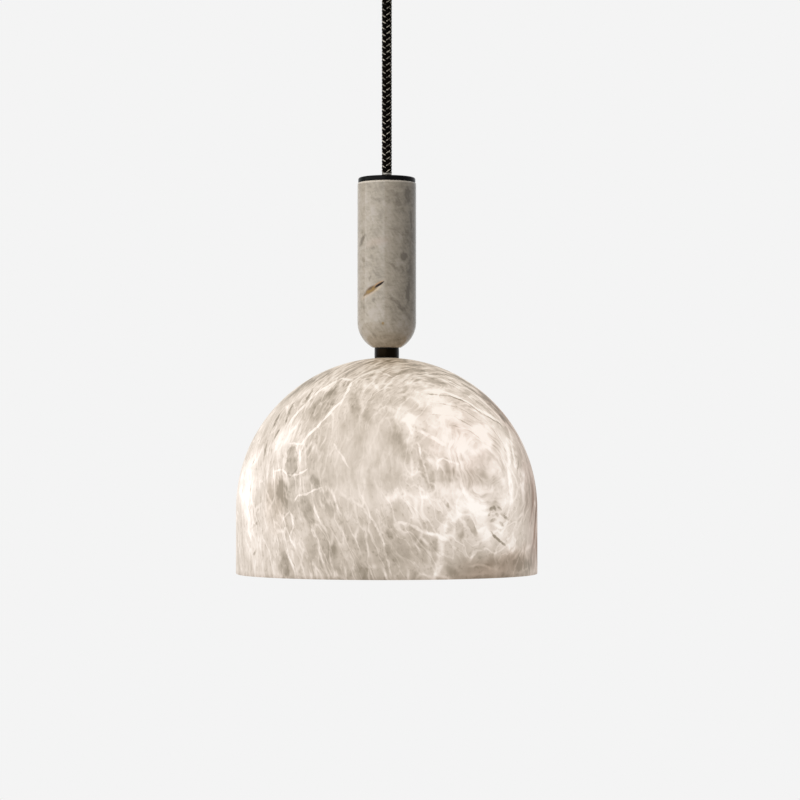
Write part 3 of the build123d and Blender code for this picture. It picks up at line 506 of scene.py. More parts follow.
def lit_alabaster(colours, radius, centre, rim):
    """The dome's stone, from the dome's radius and the heights of its centre and its rim."""
    # Alabaster, turned and polished, lit from inside: clear grey-beige layers between milky clouds and
    # cream veins, all of it glowing, most beside the bulb and least at the crown over the clamp plate
    material, tree, shader, place = new_material("lit_alabaster")

    def spot(right, above):
        point = Vector((right * MM, 0, rim + above * MM))
        middle = Vector((0, 0, min(point.z, centre)))
        point.y = -sqrt(max(radius ** 2 - (point - middle).length_squared, 0))
        return point, (point - middle).normalized()

    bent = wander(tree, place, (12, 1.1), (3.0, 0.5))
    ragged = wander(tree, place, (13, 3.2), (4.5, 1.6))
    swept = wander(tree, place, (45, 6), (12, 1.5))
    wavy = wander(tree, place, (8, 1.5), (2.6, 0.7))
    height = add(tree, "SeparateXYZ", {0: place}, out="Z")
    height = add(tree, "MapRange", {"Value": height, "From Min": rim, "From Max": centre + radius})
    crown = add(tree, "MapRange", {"Value": height, "From Min": 0.78, "From Max": 1.0})
    tone = add(tree, "TexNoise", {"Vector": bent, "Scale": 1 / (30 * MM), "Detail": 4.0, "Roughness": 0.6})
    tone = add(tree, "MapRange", {"Value": tone, **MIDDLE, "To Min": 0.31, "To Max": 0.54})
    tone, layer = layered(tree, tone, (bent, ragged, swept), spot, crown)
    tone = grown(tree, tone, (bent, ragged, wavy), spot)
    stone = add(tree, "ValToRGB", {"Fac": tone}, stops=(
        (0.0, colours.stone_deep), (0.32, colours.stone_ground),
        (0.62, colours.stone_milk), (0.92, colours.stone_vein)))

    # Stains that follow the layers, and painted shade at the right limb, then the share that the stone keeps
    # unlit and the share that glows
    streaked = add(tree, "MapRange", {"Value": layer, "From Min": 0.35, "From Max": 0.6,
                                      "To Min": 1.0, "To Max": 0.55})
    for right, above, lean, long, wide, most, tint in TINTS:
        share = patch(tree, ragged, spot(right, above), lean, (wide, TINT_DEPTH, long), 0.2, most)
        share = add(tree, "Math", {0: share, 1: streaked}, operation="MULTIPLY")
        stone = add(tree, "Mix", {0: share, 6: stone, 7: opaque(tint)}, out=2, **TINTED)
    dull = add(tree, "Mix", {0: 1.0, 6: stone, 7: opaque(colours.stone_unlit)}, out=2, **TINTED)
    glow = add(tree, "ValToRGB", {"Fac": height}, stops=(
        (0.0, "c4bdb5"), (0.02, "e1ded9"), (0.4, colours.stone_glow), (0.86, "e7e3db"),
        (1.0, colours.crown_glow)))
    lit = add(tree, "Mix", {0: 1.0, 6: stone, 7: glow}, out=2, **TINTED)
    feed(shader, {"Base Color": dull, "Emission Color": lit, "Emission Strength": 1.0, "Roughness": 0.46,
                  "IOR": STONE_IOR, "Normal": polished(tree, place, 0.2)})
    return material


# Growths in the handle's front: distance right of the axis and height above the dome's rim, in millimetres
HANDLE_STREAKS = (
    # start, end, half width, tone
    ((-0.8, 207), (9.1, 200.2), 1.3, -0.41),
    ((8.3, 204.7), (11.7, 199), 1.4, -0.47),
    ((14.7, 194.1), (13.4, 178.2), 1.6, -0.8),
    ((0.8, 185), (15.1, 169.8), 1.8, -0.5),
    ((16.2, 239.6), (16.2, 229.4), 1.4, -0.8),
    ((-14.7, 223.7), (-18.3, 217.6), 2.3, -1.0),
    ((-11.3, 248.7), (-2.3, 247), 1.4, -0.41),
    ((9, 153.8), (13, 156.3), 1.4, -0.54),
    ((-17.5, 214.8), (-9, 217.8), 1.4, 0.25),
)
HANDLE_SMUDGES_AND_SHADE = (
    # right of the axis, height, lean of its long axis, half length, half width, tone
    (11.3, 209.7, 10, 4.3, 3.4, -1.1),
    (14, 250.8, 0, 8, 3.6, -0.62),
    (9, 244.8, 0, 10, 6, -0.28),
    (12.1, 225.5, 10, 7, 3, -0.42),
    (6, 227.5, 0, 5, 5, -0.28),
    (15, 202.8, 0, 8, 3, -0.38),
    (-15.5, 208.1, 20, 2.8, 2, -0.56),
    (-10.6, 195.6, 30, 2.6, 1.4, -0.38),
    (-8.7, 180.8, 35, 2.8, 1.4, -0.38),
    (-6, 219.1, -80, 8, 3.8, 0.28),
    (-8, 169.8, 20, 12, 6, 0.2),
    (-9, 235.8, 0, 12, 6, 0.2),
    # Painted shade down the handle's right side, over a mild smoky tone
    (18.5, 210, 0, 70, 7, -0.24),
    (0, 200, 0, 55, 6, 0.14),
)
HANDLE_GRAINS = (
    # sizes along three axes in millimetres, lean, unevenness
    ((5, 5, 3.4), 20, 0.2),
    ((7, 7, 1.1), -8, 0.1),
    ((2, 2, 1.3), 30, 0.12),
    ((1.3, 3, 6), -32, 0.16),
)
HANDLE_STAINS = (
    # start, end, half width, edge, share, name of a colour of the panel or a hex code
    ((1, 221), (-13, 217.6), 4.5, 0.1, 0.35, "cbaf9b"),
    # Pale stone round the needle and the ochre stain, and a painted highlight under both
    ((1, 195.2), (-18, 181), 4.4, 0.2, 0.55, "dccebb"),
    ((-5.5, 188), (-16.5, 182), 2.0, 0.2, 0.4, "e6c9a8"),
    ((-3, 190.4), (-9, 186.4), 1.3, 0.2, 0.5, "ead2aa"),
    # Brown skin of the stain, the stain, and its brown ends
    ((-6.6, 190.2), (-14.2, 185.3), 2.7, 0.4, 0.95, "6c4c1a"),
    ((-6.8, 189.4), (-13.8, 185.4), 2.1, 0.35, 0.9, "ochre"),
    ((-9.6, 189.2), (-12.2, 187.6), 1.1, 0.3, 0.85, "5f421f"),
    ((-13, 185.8), (-15.4, 183.9), 1.2, 0.2, 0.75, "7a5e2e"),
    # Orange stone along the needle, and two specks lower down
    ((-2.3, 193.6), (-8.2, 190.2), 1.1, 0.3, 0.6, "c98f4a"),
    ((-2.2, 166.6), (-2.6, 164.4), 1.4, 0.1, 0.7, "ochre"),
    ((17, 160), (8, 149), 3.0, 0.1, 0.5, "93794a"),
)
NEEDLE = ((-2.3, 192.7), (-7.4, 189.4))
NEEDLE_HALF = 0.95
# How much wider than its table says a streak's lens is, and how deep the growths go, in millimetres
STREAK_SKIN = 1.3
SMUDGE_DEPTH, STAIN_DEPTH = 8, 4
# Roughness of the polished stone and of the needle
STONE_GLOSS, NEEDLE_GLOSS = 0.07, 0.75


def dry_alabaster(colours, radius, top, rim):
    """The handle's stone, from its radius and the heights of its top and of the dome's rim."""
    # Alabaster, turned and polished, unlit: soft greige with smoky smudges, painted shade down the right
    # side, a clear gloss, a dull dark needle in an ochre stain, and painted highlights under it and along the
    # top's chamfer
    material, tree, shader, place = new_material("dry_alabaster")

    def spot(right, above):
        point = Vector((right * MM, -sqrt(radius ** 2 - (right * MM) ** 2), rim + above * MM))
        return point, Vector((point.x, point.y, 0)).normalized()

    bent = wander(tree, place, (9, 1.2), (2.4, 0.5))
    ragged = wander(tree, place, (6, 1.8), (2.0, 0.8))
    still = wander(tree, place, (2.5, 0.35))
    tone = add(tree, "TexNoise", {"Vector": bent, "Scale": 1 / (13 * MM), "Detail": 5.0, "Roughness": 0.62})
    tone = add(tree, "MapRange", {"Value": tone, **MIDDLE, "To Min": 0.38, "To Max": 0.96})
    for size, lean, uneven in HANDLE_GRAINS:
        own = grain(tree, bent, (0, radians(lean), 0), size, 4.0)
        own = add(tree, "MapRange", {"Value": own, **MIDDLE, "To Min": -uneven, "To Max": uneven})
        tone = add(tree, "Math", {0: tone, 1: own}, operation="ADD")
    for start, end, half, strength in HANDLE_STREAKS:
        ends = (spot(*start), spot(*end))
        share = streak(tree, ragged, ends, half * STREAK_SKIN, SMUDGE_DEPTH, 0.2, strength)
        tone = add(tree, "Math", {0: tone, 1: share}, operation="ADD")
    for right, above, lean, long, wide, strength in HANDLE_SMUDGES_AND_SHADE:
        share = patch(tree, ragged, spot(right, above), lean, (wide, SMUDGE_DEPTH, long), 0.3, strength)
        tone = add(tree, "Math", {0: tone, 1: share}, operation="ADD")
    stone = add(tree, "ValToRGB", {"Fac": tone}, stops=(
        (0.0, colours.handle_smoke), (0.7, colours.handle_stone), (1.0, "c6bbae")))
    height = add(tree, "SeparateXYZ", {0: place}, out="Z")
    # Painted highlight along the top's chamfer, where it catches the light
    chamfer_highlight = add(tree, "MapRange", {"Value": height, "From Min": top - 1.5 * MM, "From Max": top - 0.8 * MM,
                                    "To Max": 0.95})
    stone = add(tree, "Mix", {0: chamfer_highlight, 6: stone, 7: opaque("e8dccb")}, out=2, **LAID)
    for start, end, half, edge, most, shade in HANDLE_STAINS:
        share = streak(tree, still, (spot(*start), spot(*end)), half, STAIN_DEPTH, edge, most)
        shade = getattr(colours, shade, shade)
        stone = add(tree, "Mix", {0: share, 6: stone, 7: opaque(shade)}, out=2, **LAID)
    share = streak(tree, still, [spot(*end) for end in NEEDLE], NEEDLE_HALF, STAIN_DEPTH, 0.6, 1.0)
    stone = add(tree, "Mix", {0: share, 6: stone, 7: opaque(colours.needle)}, out=2, **LAID)
    gloss = add(tree, "MapRange", {"Value": share, "To Min": STONE_GLOSS, "To Max": NEEDLE_GLOSS})
    feed(shader, {"Base Color": stone, "Roughness": gloss, "Specular IOR Level": 0.35, "IOR": STONE_IOR,
                  "Normal": polished(tree, place, 0.03)})
    return material


def earth_plastic():
    """The earth core's insulation."""
    # PVC, run out in green and yellow: two bright bands down the wire, with a soft plastic gloss
    material, tree, shader, place = new_material("earth_pvc")
    bands = add(tree, "TexWave", {"Vector": place, "Scale": 1 / (9 * MM), "Distortion": 0.6}, out="Fac",
                bands_direction="Y")
    hues = add(tree, "ValToRGB", {"Fac": bands}, stops=((0.45, "d9b62c"), (0.55, "3d7a3a")))
    feed(shader, {"Base Color": hues, "Roughness": 0.4})
    return material


def opal_cover(colours):
    """The bulb's cover."""
    # Opal polycarbonate over a lit rod of diodes: an even warm white with faint clouds
    material, tree, shader, place = new_material("opal_polycarbonate")
    cloud = add(tree, "TexNoise", {"Vector": place, "Scale": 1 / (9 * MM), "Detail": 1.0})
    warm = add(tree, "ValToRGB", {"Fac": cloud}, stops=((0.3, colours.lamplight), (0.7, "fff1dc")))
    feed(shader, {"Base Color": opaque("efe9e0"), "Emission Color": warm, "Emission Strength": 1.0,
                  "Roughness": 0.45})
    return material


def diode_board():
    """The rod of diodes inside the bulb."""
    # Solder mask over ceramic, with rows of yellow phosphor dots set every 4 mm
    material, tree, shader, place = new_material("diode_board")
    dots = add(tree, "TexVoronoi", {"Vector": place, "Scale": 1 / (4 * MM), "Randomness": 0.0})
    hues = add(tree, "ValToRGB", {"Fac": dots}, stops=((0.28, "e8b637"), (0.34, "ece8df")))
    feed(shader, {"Base Color": hues, "Emission Color": hues, "Emission Strength": 1.0, "Roughness": 0.5})
    return material


def make_materials(sizes, colours):
    """Make every finish once, under the name of its slot in the record."""
    lo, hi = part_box("stone_shade")
    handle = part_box("stone_handle")[1]
    return {
        "lit_stone": lit_alabaster(colours, hi.x, lo.z + sizes.shade_skirt, lo.z),
        "plain_stone": dry_alabaster(colours, handle.x, handle.z, lo.z),
        # Stoved enamel on turned steel: deep gloss black with a faint orange peel
        "black_enamel": worked("black_enamel", colours.enamel, "030303", 1.6, (0.16, 0.24), relief=0.012,
                               specular=0.06),
        # Blackened bronze, turned and waxed: satin brown-black metal with the tool's fine rings
        "black_bronze": worked("black_bronze", colours.bronze, "0d0a06", 0.5, (0.24, 0.36), metallic=1.0,
                               relief=0.006, drawn=(40, 40, 1)),
        # Nickel plate on a crimped brass sleeve: warm grey, half bright
        "nickel": worked("nickel_plate", "8f8c85", "6f6c66", 0.4, (0.3, 0.44), metallic=1.0, relief=0.006,
                         drawn=(30, 30, 1)),
        # Zinc plate on pressed and turned steel: cool grey with a faint bloom
        "zinc_steel": worked("zinc_plate", "b4b7b9", "8f9396", 2.2, (0.3, 0.5), metallic=1.0, relief=0.008),
        # Tinned brass strip and rod: pale straw metal
        "tinned_brass": worked("tinned_brass", "c9bd97", "a8966a", 1.8, (0.28, 0.42), metallic=1.0,
                               relief=0.006),
        # Deep drawn steel under black paint: smooth and satin
        "cup_steel": worked("painted_cup", "1c1b1a", "121110", 1.4, (0.38, 0.5), relief=0.01),
        # Moulded silicone: matt black with a dusty bloom
        "black_silicone": worked("silicone_rubber", "1f1e1d", "121111", 1.2, (0.66, 0.8), relief=0.02),
        # Braided rayon in the gland, out of sight: dark yarn
        "textile": worked("rayon_braid", colours.yarn, "070605", 0.9, (0.5, 0.65), relief=0.12),
        # PVC sheath under the braid: mid grey, slightly waxy
        "sheath": worked("pvc_sheath", "96948f", "848079", 1.5, (0.42, 0.55), relief=0.02),
        # PVC insulation, extruded: even colour with a soft gloss
        "brown_insulation": worked("brown_pvc", "6d4429", "57351f", 2.0, (0.34, 0.46)),
        "blue_insulation": worked("blue_pvc", "2c5f9e", "234e86", 2.0, (0.34, 0.46)),
        "earth_insulation": earth_plastic(),
        # Moulded polyamide: milky white, satin
        "block_nylon": worked("polyamide", "e4e1d8", "d5d1c6", 2.5, (0.4, 0.52), relief=0.015),
        # Glazed steatite: dense white ceramic with faint grey flecks
        "white_ceramic": worked("steatite", "eeeae2", "dcd7cc", 1.0, (0.2, 0.34), relief=0.01),
        # Moulded PBT: plain white, satin
        "bulb_plastic": worked("pbt_plastic", "e9e6df", "dad6cd", 1.6, (0.38, 0.5), relief=0.012),
        "bulb_opal": opal_cover(colours),
        "bulb_board": diode_board(),
        # Tinned copper wire: bright and soft
        "pin_wire": worked("tinned_copper", "c7c4bc", "aaa69c", 0.8, (0.2, 0.34), metallic=1.0),
        # Rayon yarn, twisted and braided: dark brown-black with a faint sheen on each end
        "dark_yarn": worked("dark_rayon", colours.yarn, "040302", 1.2, (0.45, 0.6), relief=0.03,
                            specular=0.02),
        # Cotton tracer end: pale cream, matt, with dark gaps between its fibres; these pale ends also stand
        # in for painted highlights on the glossy braid
        "pale_yarn": worked("cotton_tracer_and_highlight", colours.tracer, "0a0705", 0.9, (0.7, 0.85), relief=0.04,
                            specular=0.02),
    }


# Modelling

# Points and heights that are closer than these, in metres, are the same: in a drawn section and in a solid
DRAWN_NEAR, SOLID_NEAR = 1e-7, 1e-6
# Edges that turn by more than these angles are eased, and stay crisp in a finished mesh
EASED, CRISP = radians(35), radians(32)


def draw_section(bm, route):
    """Draw half a turned piece's section: (radius, height) is a corner, and (centre radius, centre height,
    degrees, steps) swings the last corner about that centre."""
    first = last = None
    for step in route:
        if len(step) == 2:
            new = bm.verts.new((step[0], 0, step[1]))
            if last:
                bm.edges.new((last, new))
            first, last = first or new, new
        else:
            swung = bmesh.ops.spin(bm, geom=[last], cent=(step[0], 0, step[1]), axis=(0, 1, 0),
                                   angle=radians(step[2]), steps=step[3])
            last = next(part for part in swung["geom_last"] if isinstance(part, bmesh.types.BMVert))
    bm.edges.new((last, first))


def turn(bm, route, steps=160):
    """Turn a closed section about the lamp's axis."""
    draw_section(bm, route)
    bmesh.ops.remove_doubles(bm, verts=bm.verts[:], dist=DRAWN_NEAR)
    bmesh.ops.spin(bm, geom=bm.verts[:] + bm.edges[:], cent=(0, 0, 0), axis=(0, 0, 1), angle=2 * pi,
                   steps=steps, use_merge=True)
    bmesh.ops.remove_doubles(bm, verts=bm.verts[:], dist=DRAWN_NEAR)
    bmesh.ops.recalc_face_normals(bm, faces=bm.faces[:])


def ease(bm, round_by, heights=None):
    """Round the sharp edges, or those at the given heights."""
    sharp = [e for e in bm.edges if e.is_manifold and e.calc_face_angle(0) > EASED
             and (heights is None or any(abs(e.verts[0].co.z - z) < SOLID_NEAR for z in heights))]
    bmesh.ops.bevel(bm, geom=sharp, offset=round_by, offset_type="OFFSET", affect="EDGES", segments=3,
                    profile=0.5, material=-1, clamp_overlap=True)


# Name of the material that was made for each slot
materials = {}


def finish_of(slot):
    """The material already made for a slot."""
    return bpy.data.materials[materials[slot]]


def put(name, bm, slot, node):
    """Finish a mesh as a piece that rides with the node it replaces."""
    for edge in bm.edges:
        edge.smooth = edge.calc_face_angle(0) < CRISP
    for face in bm.faces:
        face.smooth = True
    mesh = bpy.data.meshes.new(name)
    bm.to_mesh(mesh)
    bm.free()
    mesh.materials.append(finish_of(slot))
    piece = bpy.data.objects.new(name, mesh)
    bpy.context.scene.collection.objects.link(piece)
    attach(piece, next(body for body, held in bodies.items() if node in held))
    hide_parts(node)


# Stage

# Camera: the picture's width, the focal length and the horizon's height in pixels, and its place in metres,
# right of the lamp's axis, in front of it and above the dome's rim
PICTURE, FOCAL, HORIZON = 800, 2565.0, 467.0
EYE_RIGHT, EYE_BEFORE, EYE_ABOVE = 0.0088, 1.707, 0.0708
# Floor: radius and height in metres, and how much of the ground's tone its paper gives to the eye by itself
FLOOR_RADIUS, FLOOR_HEIGHT, PAPER_GLOW = 2.0, -1.6, 0.57
# Strength of the surroundings' soft light from the left and from the right
SOFT_LEFT, SOFT_RIGHT = 0.38, 0.14
# Window: width and height, and place, in metres, turn in degrees and power in watts
WINDOW_SIZE, WINDOW_PLACE = (3.6, 1.7), (-1.6, -0.95, 0.45)
WINDOW_TURN, WINDOW_POWER = -44, 34.0


def place_camera(scene):
    """Set a long lens in front of the lamp, a little above its rim and looking slightly up."""
    camera = bpy.data.cameras.new("camera")
    camera.sensor_fit = "HORIZONTAL"
    camera.sensor_width = 36.0
    camera.lens = camera.sensor_width * FOCAL / PICTURE
    eye = bpy.data.objects.new("camera", camera)
    eye.location = (EYE_RIGHT, -EYE_BEFORE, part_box("stone_shade")[0].z + EYE_ABOVE)
    eye.rotation_euler = Euler((pi / 2 + atan((HORIZON - PICTURE / 2) / FOCAL), 0, 0))
    scene.collection.objects.link(eye)
    scene.camera = eye


def seen(tree):
    """1 where the eye looks, also by way of metal and glass, and 0 where light is gathered."""
    path = add(tree, "LightPath").node.outputs
    looks = path["Is Camera Ray"]
    for ray in ("Is Glossy Ray", "Is Transmission Ray"):
        looks = add(tree, "Math", {0: looks, 1: path[ray]}, operation="MAXIMUM")
    return looks


def lay_floor(scene, ground):
    """Lay a round of pale paper, well below the lamp."""
    bm = bmesh.new()
    bmesh.ops.create_circle(bm, cap_ends=True, segments=96, radius=FLOOR_RADIUS)
    bmesh.ops.translate(bm, verts=bm.verts[:], vec=(0, 0, FLOOR_HEIGHT))
    mesh = bpy.data.meshes.new("floor")
    bm.to_mesh(mesh)
    bm.free()
    # Matt paper: as pale as the backdrop to the eye, to metal and to glass, over the light and shade it gets
    paper = worked("paper", ground, "efefee", 60, (0.8, 0.9))
    tree = paper.node_tree
    glow = add(tree, "Math", {0: seen(tree), 1: PAPER_GLOW}, operation="MULTIPLY")
    shader = next(node for node in tree.nodes if node.type == "BSDF_PRINCIPLED")
    feed(shader, {"Emission Color": opaque(ground), "Emission Strength": glow})
    mesh.materials.append(paper)
    floor = bpy.data.objects.new("floor", mesh)
    scene.collection.objects.link(floor)


def hang_surroundings(scene, ground):
    """Hang the pale backdrop for the eye, metal and glass, and soft light that is stronger from the left."""
    world = bpy.data.worlds.new("surroundings")
    scene.world = world
    world.use_nodes = True
    tree = world.node_tree
    tree.nodes.clear()
    side = add(tree, "SeparateXYZ", {0: add(tree, "TexCoord", out="Generated")}, out="X")
    level = add(tree, "MapRange", {"Value": side, "From Min": -1.0, "From Max": 1.0,
                                   "To Min": SOFT_LEFT, "To Max": SOFT_RIGHT})
    soft = add(tree, "Background", {"Color": opaque("ffffff"), "Strength": level})
    plain = add(tree, "Background", {"Color": opaque(ground), "Strength": 1.0})
    mixed = add(tree, "MixShader", {0: seen(tree), 1: soft, 2: plain})
    add(tree, "OutputWorld", {"Surface": mixed})


def open_window(scene):
    """Open a long window of soft light to the camera's left, whose near edge shows in the handle's gloss."""
    pane = bpy.data.lights.new("window", "AREA")
    pane.shape = "RECTANGLE"
    pane.size, pane.size_y = WINDOW_SIZE
    pane.energy = WINDOW_POWER
    window = bpy.data.objects.new("window", pane)
    window.location = WINDOW_PLACE
    window.rotation_euler = Euler((pi / 2, 0, radians(WINDOW_TURN)))
    scene.collection.objects.link(window)


class LAMP_OT_stage(bpy.types.Operator):
    """Set up the floor, the pale surroundings, the lights and the camera, and mix the finishes"""
    bl_idname = "lamp.stage"
    bl_label = "Stage"

    def execute(self, context):
        scene = context.scene
        scene.view_settings.view_transform = "Standard"
        for slot, material in make_materials(scene.lamp_sizes, scene.lamp_colours).items():
            materials[slot] = material.name
        ground = scene.lamp_colours.ground
        place_camera(scene)
        lay_floor(scene, ground)
        hang_surroundings(scene, ground)
        open_window(scene)
        return {"FINISHED"}


# Pieces

# Route of the cord's middle line, from inside the gland to the ferrule, in metres
CORD_ROUTE = ((0, 0, -0.042), (0, 0, -0.0603), (0, 0, -0.104), (0, 0, -0.1476), (0, 0, -0.1659))
# Braid: points on each turn of a yarn, how far a carrier rises and dips in radii of its yarn, how much of
# that the core leaves free, and where the first carrier starts, in degrees
POINTS_PER_TURN = 34
RISE, CORE_FREE = 0.95, 0.6
FIRST_CARRIER = -69


def cord_line():
    """Points on the cord's middle line, and how far along it each of them is."""
    line = bpy.data.curves.new("cord_line", "CURVE")
    line.dimensions = "3D"
    line.resolution_u = 40
    spline = line.splines.new("NURBS")
    spline.points.add(len(CORD_ROUTE) - 1)
    for point, place in zip(spline.points, CORD_ROUTE):
        point.co = (*place, 1)
    spline.order_u = 3
    spline.use_endpoint_u = True
    holder = bpy.data.objects.new("cord_line", line)
    middle = [v.co.copy() for v in bpy.data.meshes.new_from_object(holder).vertices]
    bpy.data.objects.remove(holder)
    gone = [0.0]
    for a, b in zip(middle, middle[1:]):
        gone.append(gone[-1] + (b - a).length)
    return middle, gone


def lay_yarns(braid, sizes, middle, gone):
    """Lay the yarns round the middle line, each carrier over two and under two with its ends side by side,
    and the core that they lie on."""
    pitch, count = sizes.braid_pitch, sizes.carriers
    lift = sizes.yarn_radius * RISE
    mean = sizes.cord_radius - sizes.yarn_radius - lift
    slant = sqrt((2 * pi * mean) ** 2 + pitch ** 2) / pitch
    gap = 2 * sizes.yarn_radius * slant / mean
    samples = int(gone[-1] / pitch * POINTS_PER_TURN)
    steps = [gone[-1] * i / samples for i in range(samples + 1)]

    def at(run):
        number = next((i for i, g in enumerate(gone[1:]) if g >= run), len(gone) - 2)
        a, b = middle[number], middle[number + 1]
        ahead = (b - a).normalized()
        side = (Vector((1, 0, 0)) - ahead * ahead.x).normalized()
        return a + ahead * (run - gone[number]), side, ahead.cross(side)

    spots = [at(run) for run in steps]
    for way, carrier, end in product((1, -1), range(count), range(sizes.ends)):
        strand = braid.splines.new("POLY")
        strand.points.add(samples)
        # Pale tracer ends, which also paint the highlights of the glossy braid
        tracer = carrier % 2 == 0 and end == (1 if way > 0 else 2)
        strand.material_index = int(tracer)
        start = 2 * pi * carrier / count + (end - (sizes.ends - 1) / 2) * gap + radians(FIRST_CARRIER)
        for point, run, (spot, side, other) in zip(strand.points, steps, spots):
            crossing = 2 * count * run / pitch
            over = way * cos(pi / 2 * (way * crossing + 2 * carrier - 0.5))
            angle = way * 2 * pi * run / pitch + start
            out = mean + lift * over
            point.co = (*(spot + (side * cos(angle) + other * sin(angle)) * out), 1)
    core = braid.splines.new("POLY")
    core.points.add(len(middle) - 1)
    for point, place in zip(core.points, middle):
        point.co = (*place, 1)
        point.radius = (mean - lift * CORE_FREE) / sizes.yarn_radius


class LAMP_OT_cord(bpy.types.Operator):
    """Braid the textile cord from the gland down to the ferrule"""
    bl_idname = "lamp.cord"
    bl_label = "Braided cord"

    def execute(self, context):
        sizes = context.scene.lamp_sizes
        middle, gone = cord_line()
        braid = bpy.data.curves.new("cord_braid", "CURVE")
        braid.dimensions = "3D"
        braid.bevel_depth = sizes.yarn_radius
        braid.bevel_resolution = 1
        braid.use_fill_caps = True
        for slot in ("dark_yarn", "pale_yarn"):
            braid.materials.append(finish_of(slot))
        lay_yarns(braid, sizes, middle, gone)
        holder = bpy.data.objects.new("cord_braid_line", braid)
        mesh = bpy.data.meshes.new_from_object(holder)
        mesh.name = "cord_braid"
        bpy.data.objects.remove(holder)
        mesh.polygons.foreach_set("use_smooth", [True] * len(mesh.polygons))
        cord = bpy.data.objects.new("cord_braid", mesh)
        context.scene.collection.objects.link(cord)
        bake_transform(cord)
        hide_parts("cord_root", "cord_drop")
        [tuple(p) for p in middle]
        return {"FINISHED"}


class LAMP_OT_shade(bpy.types.Operator):
    """Turn the stone dome with its skirt, rim and spot-faced seat"""
    bl_idname = "lamp.shade"
    bl_label = "Stone shade"

    def execute(self, context):
        sizes = context.scene.lamp_sizes
        lo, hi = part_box("stone_shade")
        outer, top, rim = hi.x, hi.z, lo.z
        inner = outer - sizes.shade_wall
        centre = rim + sizes.shade_skirt
        seat = sqrt(outer ** 2 - (top - centre) ** 2)
        spot = centre + inner
        bm = bmesh.new()
        turn(bm, (
            (sizes.stone_bore, top), (seat, top),
            (0, centre, 90 - degrees(acos((top - centre) / outer)), 72),
            (outer, rim), (inner, rim), (inner, centre),
            (0, centre, -degrees(acos(sizes.shade_spot / inner)), 56),
            (sizes.shade_spot, spot), (sizes.stone_bore, spot)), steps=192)
        ease(bm, round_by=sizes.shade_round, heights=(rim,))
        put("shade_dome", bm, "lit_stone", "stone_shade")
        return {"FINISHED"}


class LAMP_OT_handle(bpy.types.Operator):
    """Turn the stone handle with its half-round lower end"""
    bl_idname = "lamp.handle"
    bl_label = "Stone handle"

    def execute(self, context):
        sizes = context.scene.lamp_sizes
        lo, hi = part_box("stone_handle")
        outer, top, bottom = hi.x, hi.z, lo.z
        half = bottom + sqrt(outer ** 2 - sizes.handle_seat ** 2)
        low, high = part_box("top_cap")
        counterbore = high.x / 2
        room = 0.5 * MM
        floor = low.z - room
        bm = bmesh.new()
        turn(bm, (
            (counterbore, top), (outer - sizes.handle_chamfer, top), (outer, top - sizes.handle_chamfer),
            (outer, half), (0, half, degrees(acos(sizes.handle_seat / outer)), 40),
            (sizes.stone_bore, bottom), (sizes.stone_bore, floor), (counterbore, floor)), steps=128)
        ease(bm, round_by=0.15 * MM, heights=(top, top - sizes.handle_chamfer, bottom))
        put("handle_stone", bm, "plain_stone", "stone_handle")
        return {"FINISHED"}


class LAMP_OT_cap(bpy.types.Operator):
    """Turn the enamelled cap and the crimped ferrule that the cord enters"""
    bl_idname = "lamp.cap"
    bl_label = "Cap and ferrule"

    def execute(self, context):
        sizes = context.scene.lamp_sizes
        lo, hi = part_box("top_cap")
        low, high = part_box("cord_ferrule")
        disc = hi.z - sizes.cap_thickness
        boss, tube, fit = 9.05 * MM, 5.05 * MM, 0.05 * MM
        bm = bmesh.new()
        turn(bm, (
            (high.x + fit, hi.z), (hi.x - sizes.cap_round, hi.z),
            (hi.x - sizes.cap_round, hi.z - sizes.cap_round, 90, 10),
            (hi.x, disc), (boss, disc), (boss, lo.z), (tube, lo.z), (tube, low.z), (high.x + fit, low.z)),
            steps=128)
        ease(bm, round_by=0.3 * MM, heights=(disc,))
        put("cap_disc", bm, "black_enamel", "top_cap")

        # Ferrule: a sleeve with a small bevel at its mouth and a crimped groove below it
        bore, out, top, bevel = 2.95 * MM, high.x, high.z, 0.1 * MM
        groove, start, slope, flat = 0.16 * MM, 0.9 * MM, 0.3 * MM, 0.5 * MM
        bm = bmesh.new()
        turn(bm, (
            (bore, top), (out - bevel, top), (out, top - 2 * bevel), (out, top - start),
            (out - groove, top - start - slope), (out - groove, top - start - slope - flat),
            (out, top - start - 2 * slope - flat), (out, low.z), (bore, low.z)), steps=64)
        ease(bm, round_by=0.06 * MM)
        put("ferrule_crimp", bm, "nickel", "cord_ferrule")
        return {"FINISHED"}


class LAMP_OT_neck(bpy.types.Operator):
    """Turn the blackened neck between handle and shade"""
    bl_idname = "lamp.neck"
    bl_label = "Neck"

    def execute(self, context):
        lo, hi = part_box("neck_spacer")
        bore = 5.2 * MM
        bm = bmesh.new()
        turn(bm, ((bore, hi.z), (hi.x, hi.z), (hi.x, lo.z), (bore, lo.z)), steps=96)
        ease(bm, round_by=0.25 * MM)
        put("neck_sleeve", bm, "black_bronze", "neck_spacer")
        return {"FINISHED"}


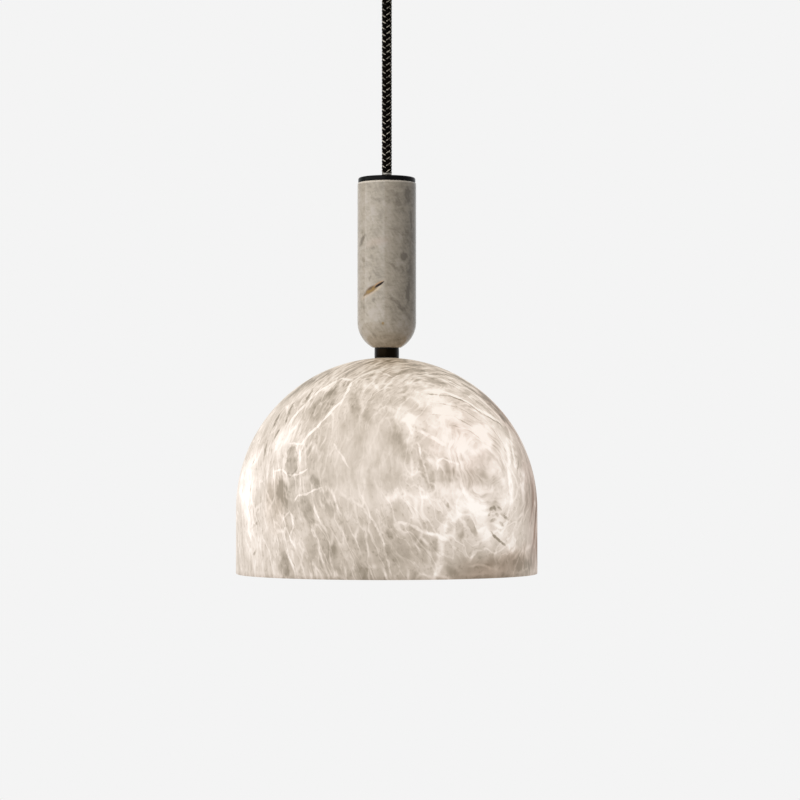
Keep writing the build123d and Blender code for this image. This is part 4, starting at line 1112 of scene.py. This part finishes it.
# Nodes whose own solids carry on, by slot
SMOOTHED = {
    "black_enamel": ("canopy_cover", "canopy_side_screws"),
    "black_bronze": ("gland_body", "gland_grub_screw"),
    "zinc_steel": ("clamp_plate", "threaded_tube", "clamp_nut", "holder_lock_nut", "holder_side_screws"),
    "black_silicone": ("upper_neck_washer", "lower_neck_washer", "shade_gasket"),
    "cup_steel": ("holder_cup",),
    "white_ceramic": ("lampholder",),
    "bulb_plastic": ("bulb_base",),
    "bulb_opal": ("bulb_cover",),
}
CARRIED = {
    "zinc_steel": ("ceiling_bracket", "gland_washer", "gland_nut", "terminal_screws", "block_screw",
                   "earth_screw", "cap_grub_screw", "holder_nut"),
    "tinned_brass": ("terminal_barrels", "bracket_earth_tag", "holder_earth_tag", "lampholder_contacts"),
    "block_nylon": ("terminal_block",),
    "textile": ("gland_cord",),
    "sheath": ("tube_cord",),
    "brown_insulation": ("canopy_live_core", "holder_live_core"),
    "blue_insulation": ("canopy_neutral_core", "holder_neutral_core"),
    "earth_insulation": ("canopy_earth_core", "holder_earth_core"),
    "bulb_board": ("bulb_light_rod",),
    "pin_wire": ("bulb_pins",),
}


class LAMP_OT_fittings(bpy.types.Operator):
    """Smooth the turned metal, ceramic and plastic fittings, and finish those that keep their solids"""
    bl_idname = "lamp.fittings"
    bl_label = "Fittings"

    def execute(self, context):
        for slot, names in SMOOTHED.items():
            for name in names:
                bm = bmesh.new()
                bm.from_mesh(frame["nodes"][name].data)
                bmesh.ops.remove_doubles(bm, verts=bm.verts[:], dist=SOLID_NEAR)
                put(name + "_smooth", bm, slot, name)
        for slot, names in CARRIED.items():
            for name in names:
                data = frame["nodes"][name].data
                data.materials.clear()
                data.materials.append(finish_of(slot))
        return {"FINISHED"}


class LAMP_PT_panel(bpy.types.Panel):
    """Sizes, colours and steps of the lamp"""
    bl_label = "Pendant lamp"
    bl_idname = "LAMP_PT_panel"
    bl_space_type = "VIEW_3D"
    bl_region_type = "UI"
    bl_category = "Lamp"

    def draw(self, context):
        for step in STEPS:
            self.layout.operator(step.bl_idname)
        for group in (context.scene.lamp_sizes, context.scene.lamp_colours):
            for name in group.__annotations__:
                self.layout.prop(group, name)


STEPS = (LAMP_OT_stage, LAMP_OT_cord, LAMP_OT_shade, LAMP_OT_handle, LAMP_OT_cap, LAMP_OT_neck,
         LAMP_OT_fittings)
CLASSES = (LampSizes, LampColours, *STEPS, LAMP_PT_panel)


def register():
    for made in CLASSES:
        bpy.utils.register_class(made)
    bpy.types.Scene.lamp_sizes = PointerProperty(type=LampSizes)
    bpy.types.Scene.lamp_colours = PointerProperty(type=LampColours)


def unregister():
    del bpy.types.Scene.lamp_colours
    del bpy.types.Scene.lamp_sizes
    for made in reversed(CLASSES):
        bpy.utils.unregister_class(made)


def main():
    register()
    bpy.ops.lamp.stage()
    bpy.ops.lamp.cord()
    bpy.ops.lamp.shade()
    bpy.ops.lamp.handle()
    bpy.ops.lamp.cap()
    bpy.ops.lamp.neck()
    bpy.ops.lamp.fittings()


if __name__ == "__main__":
    main()
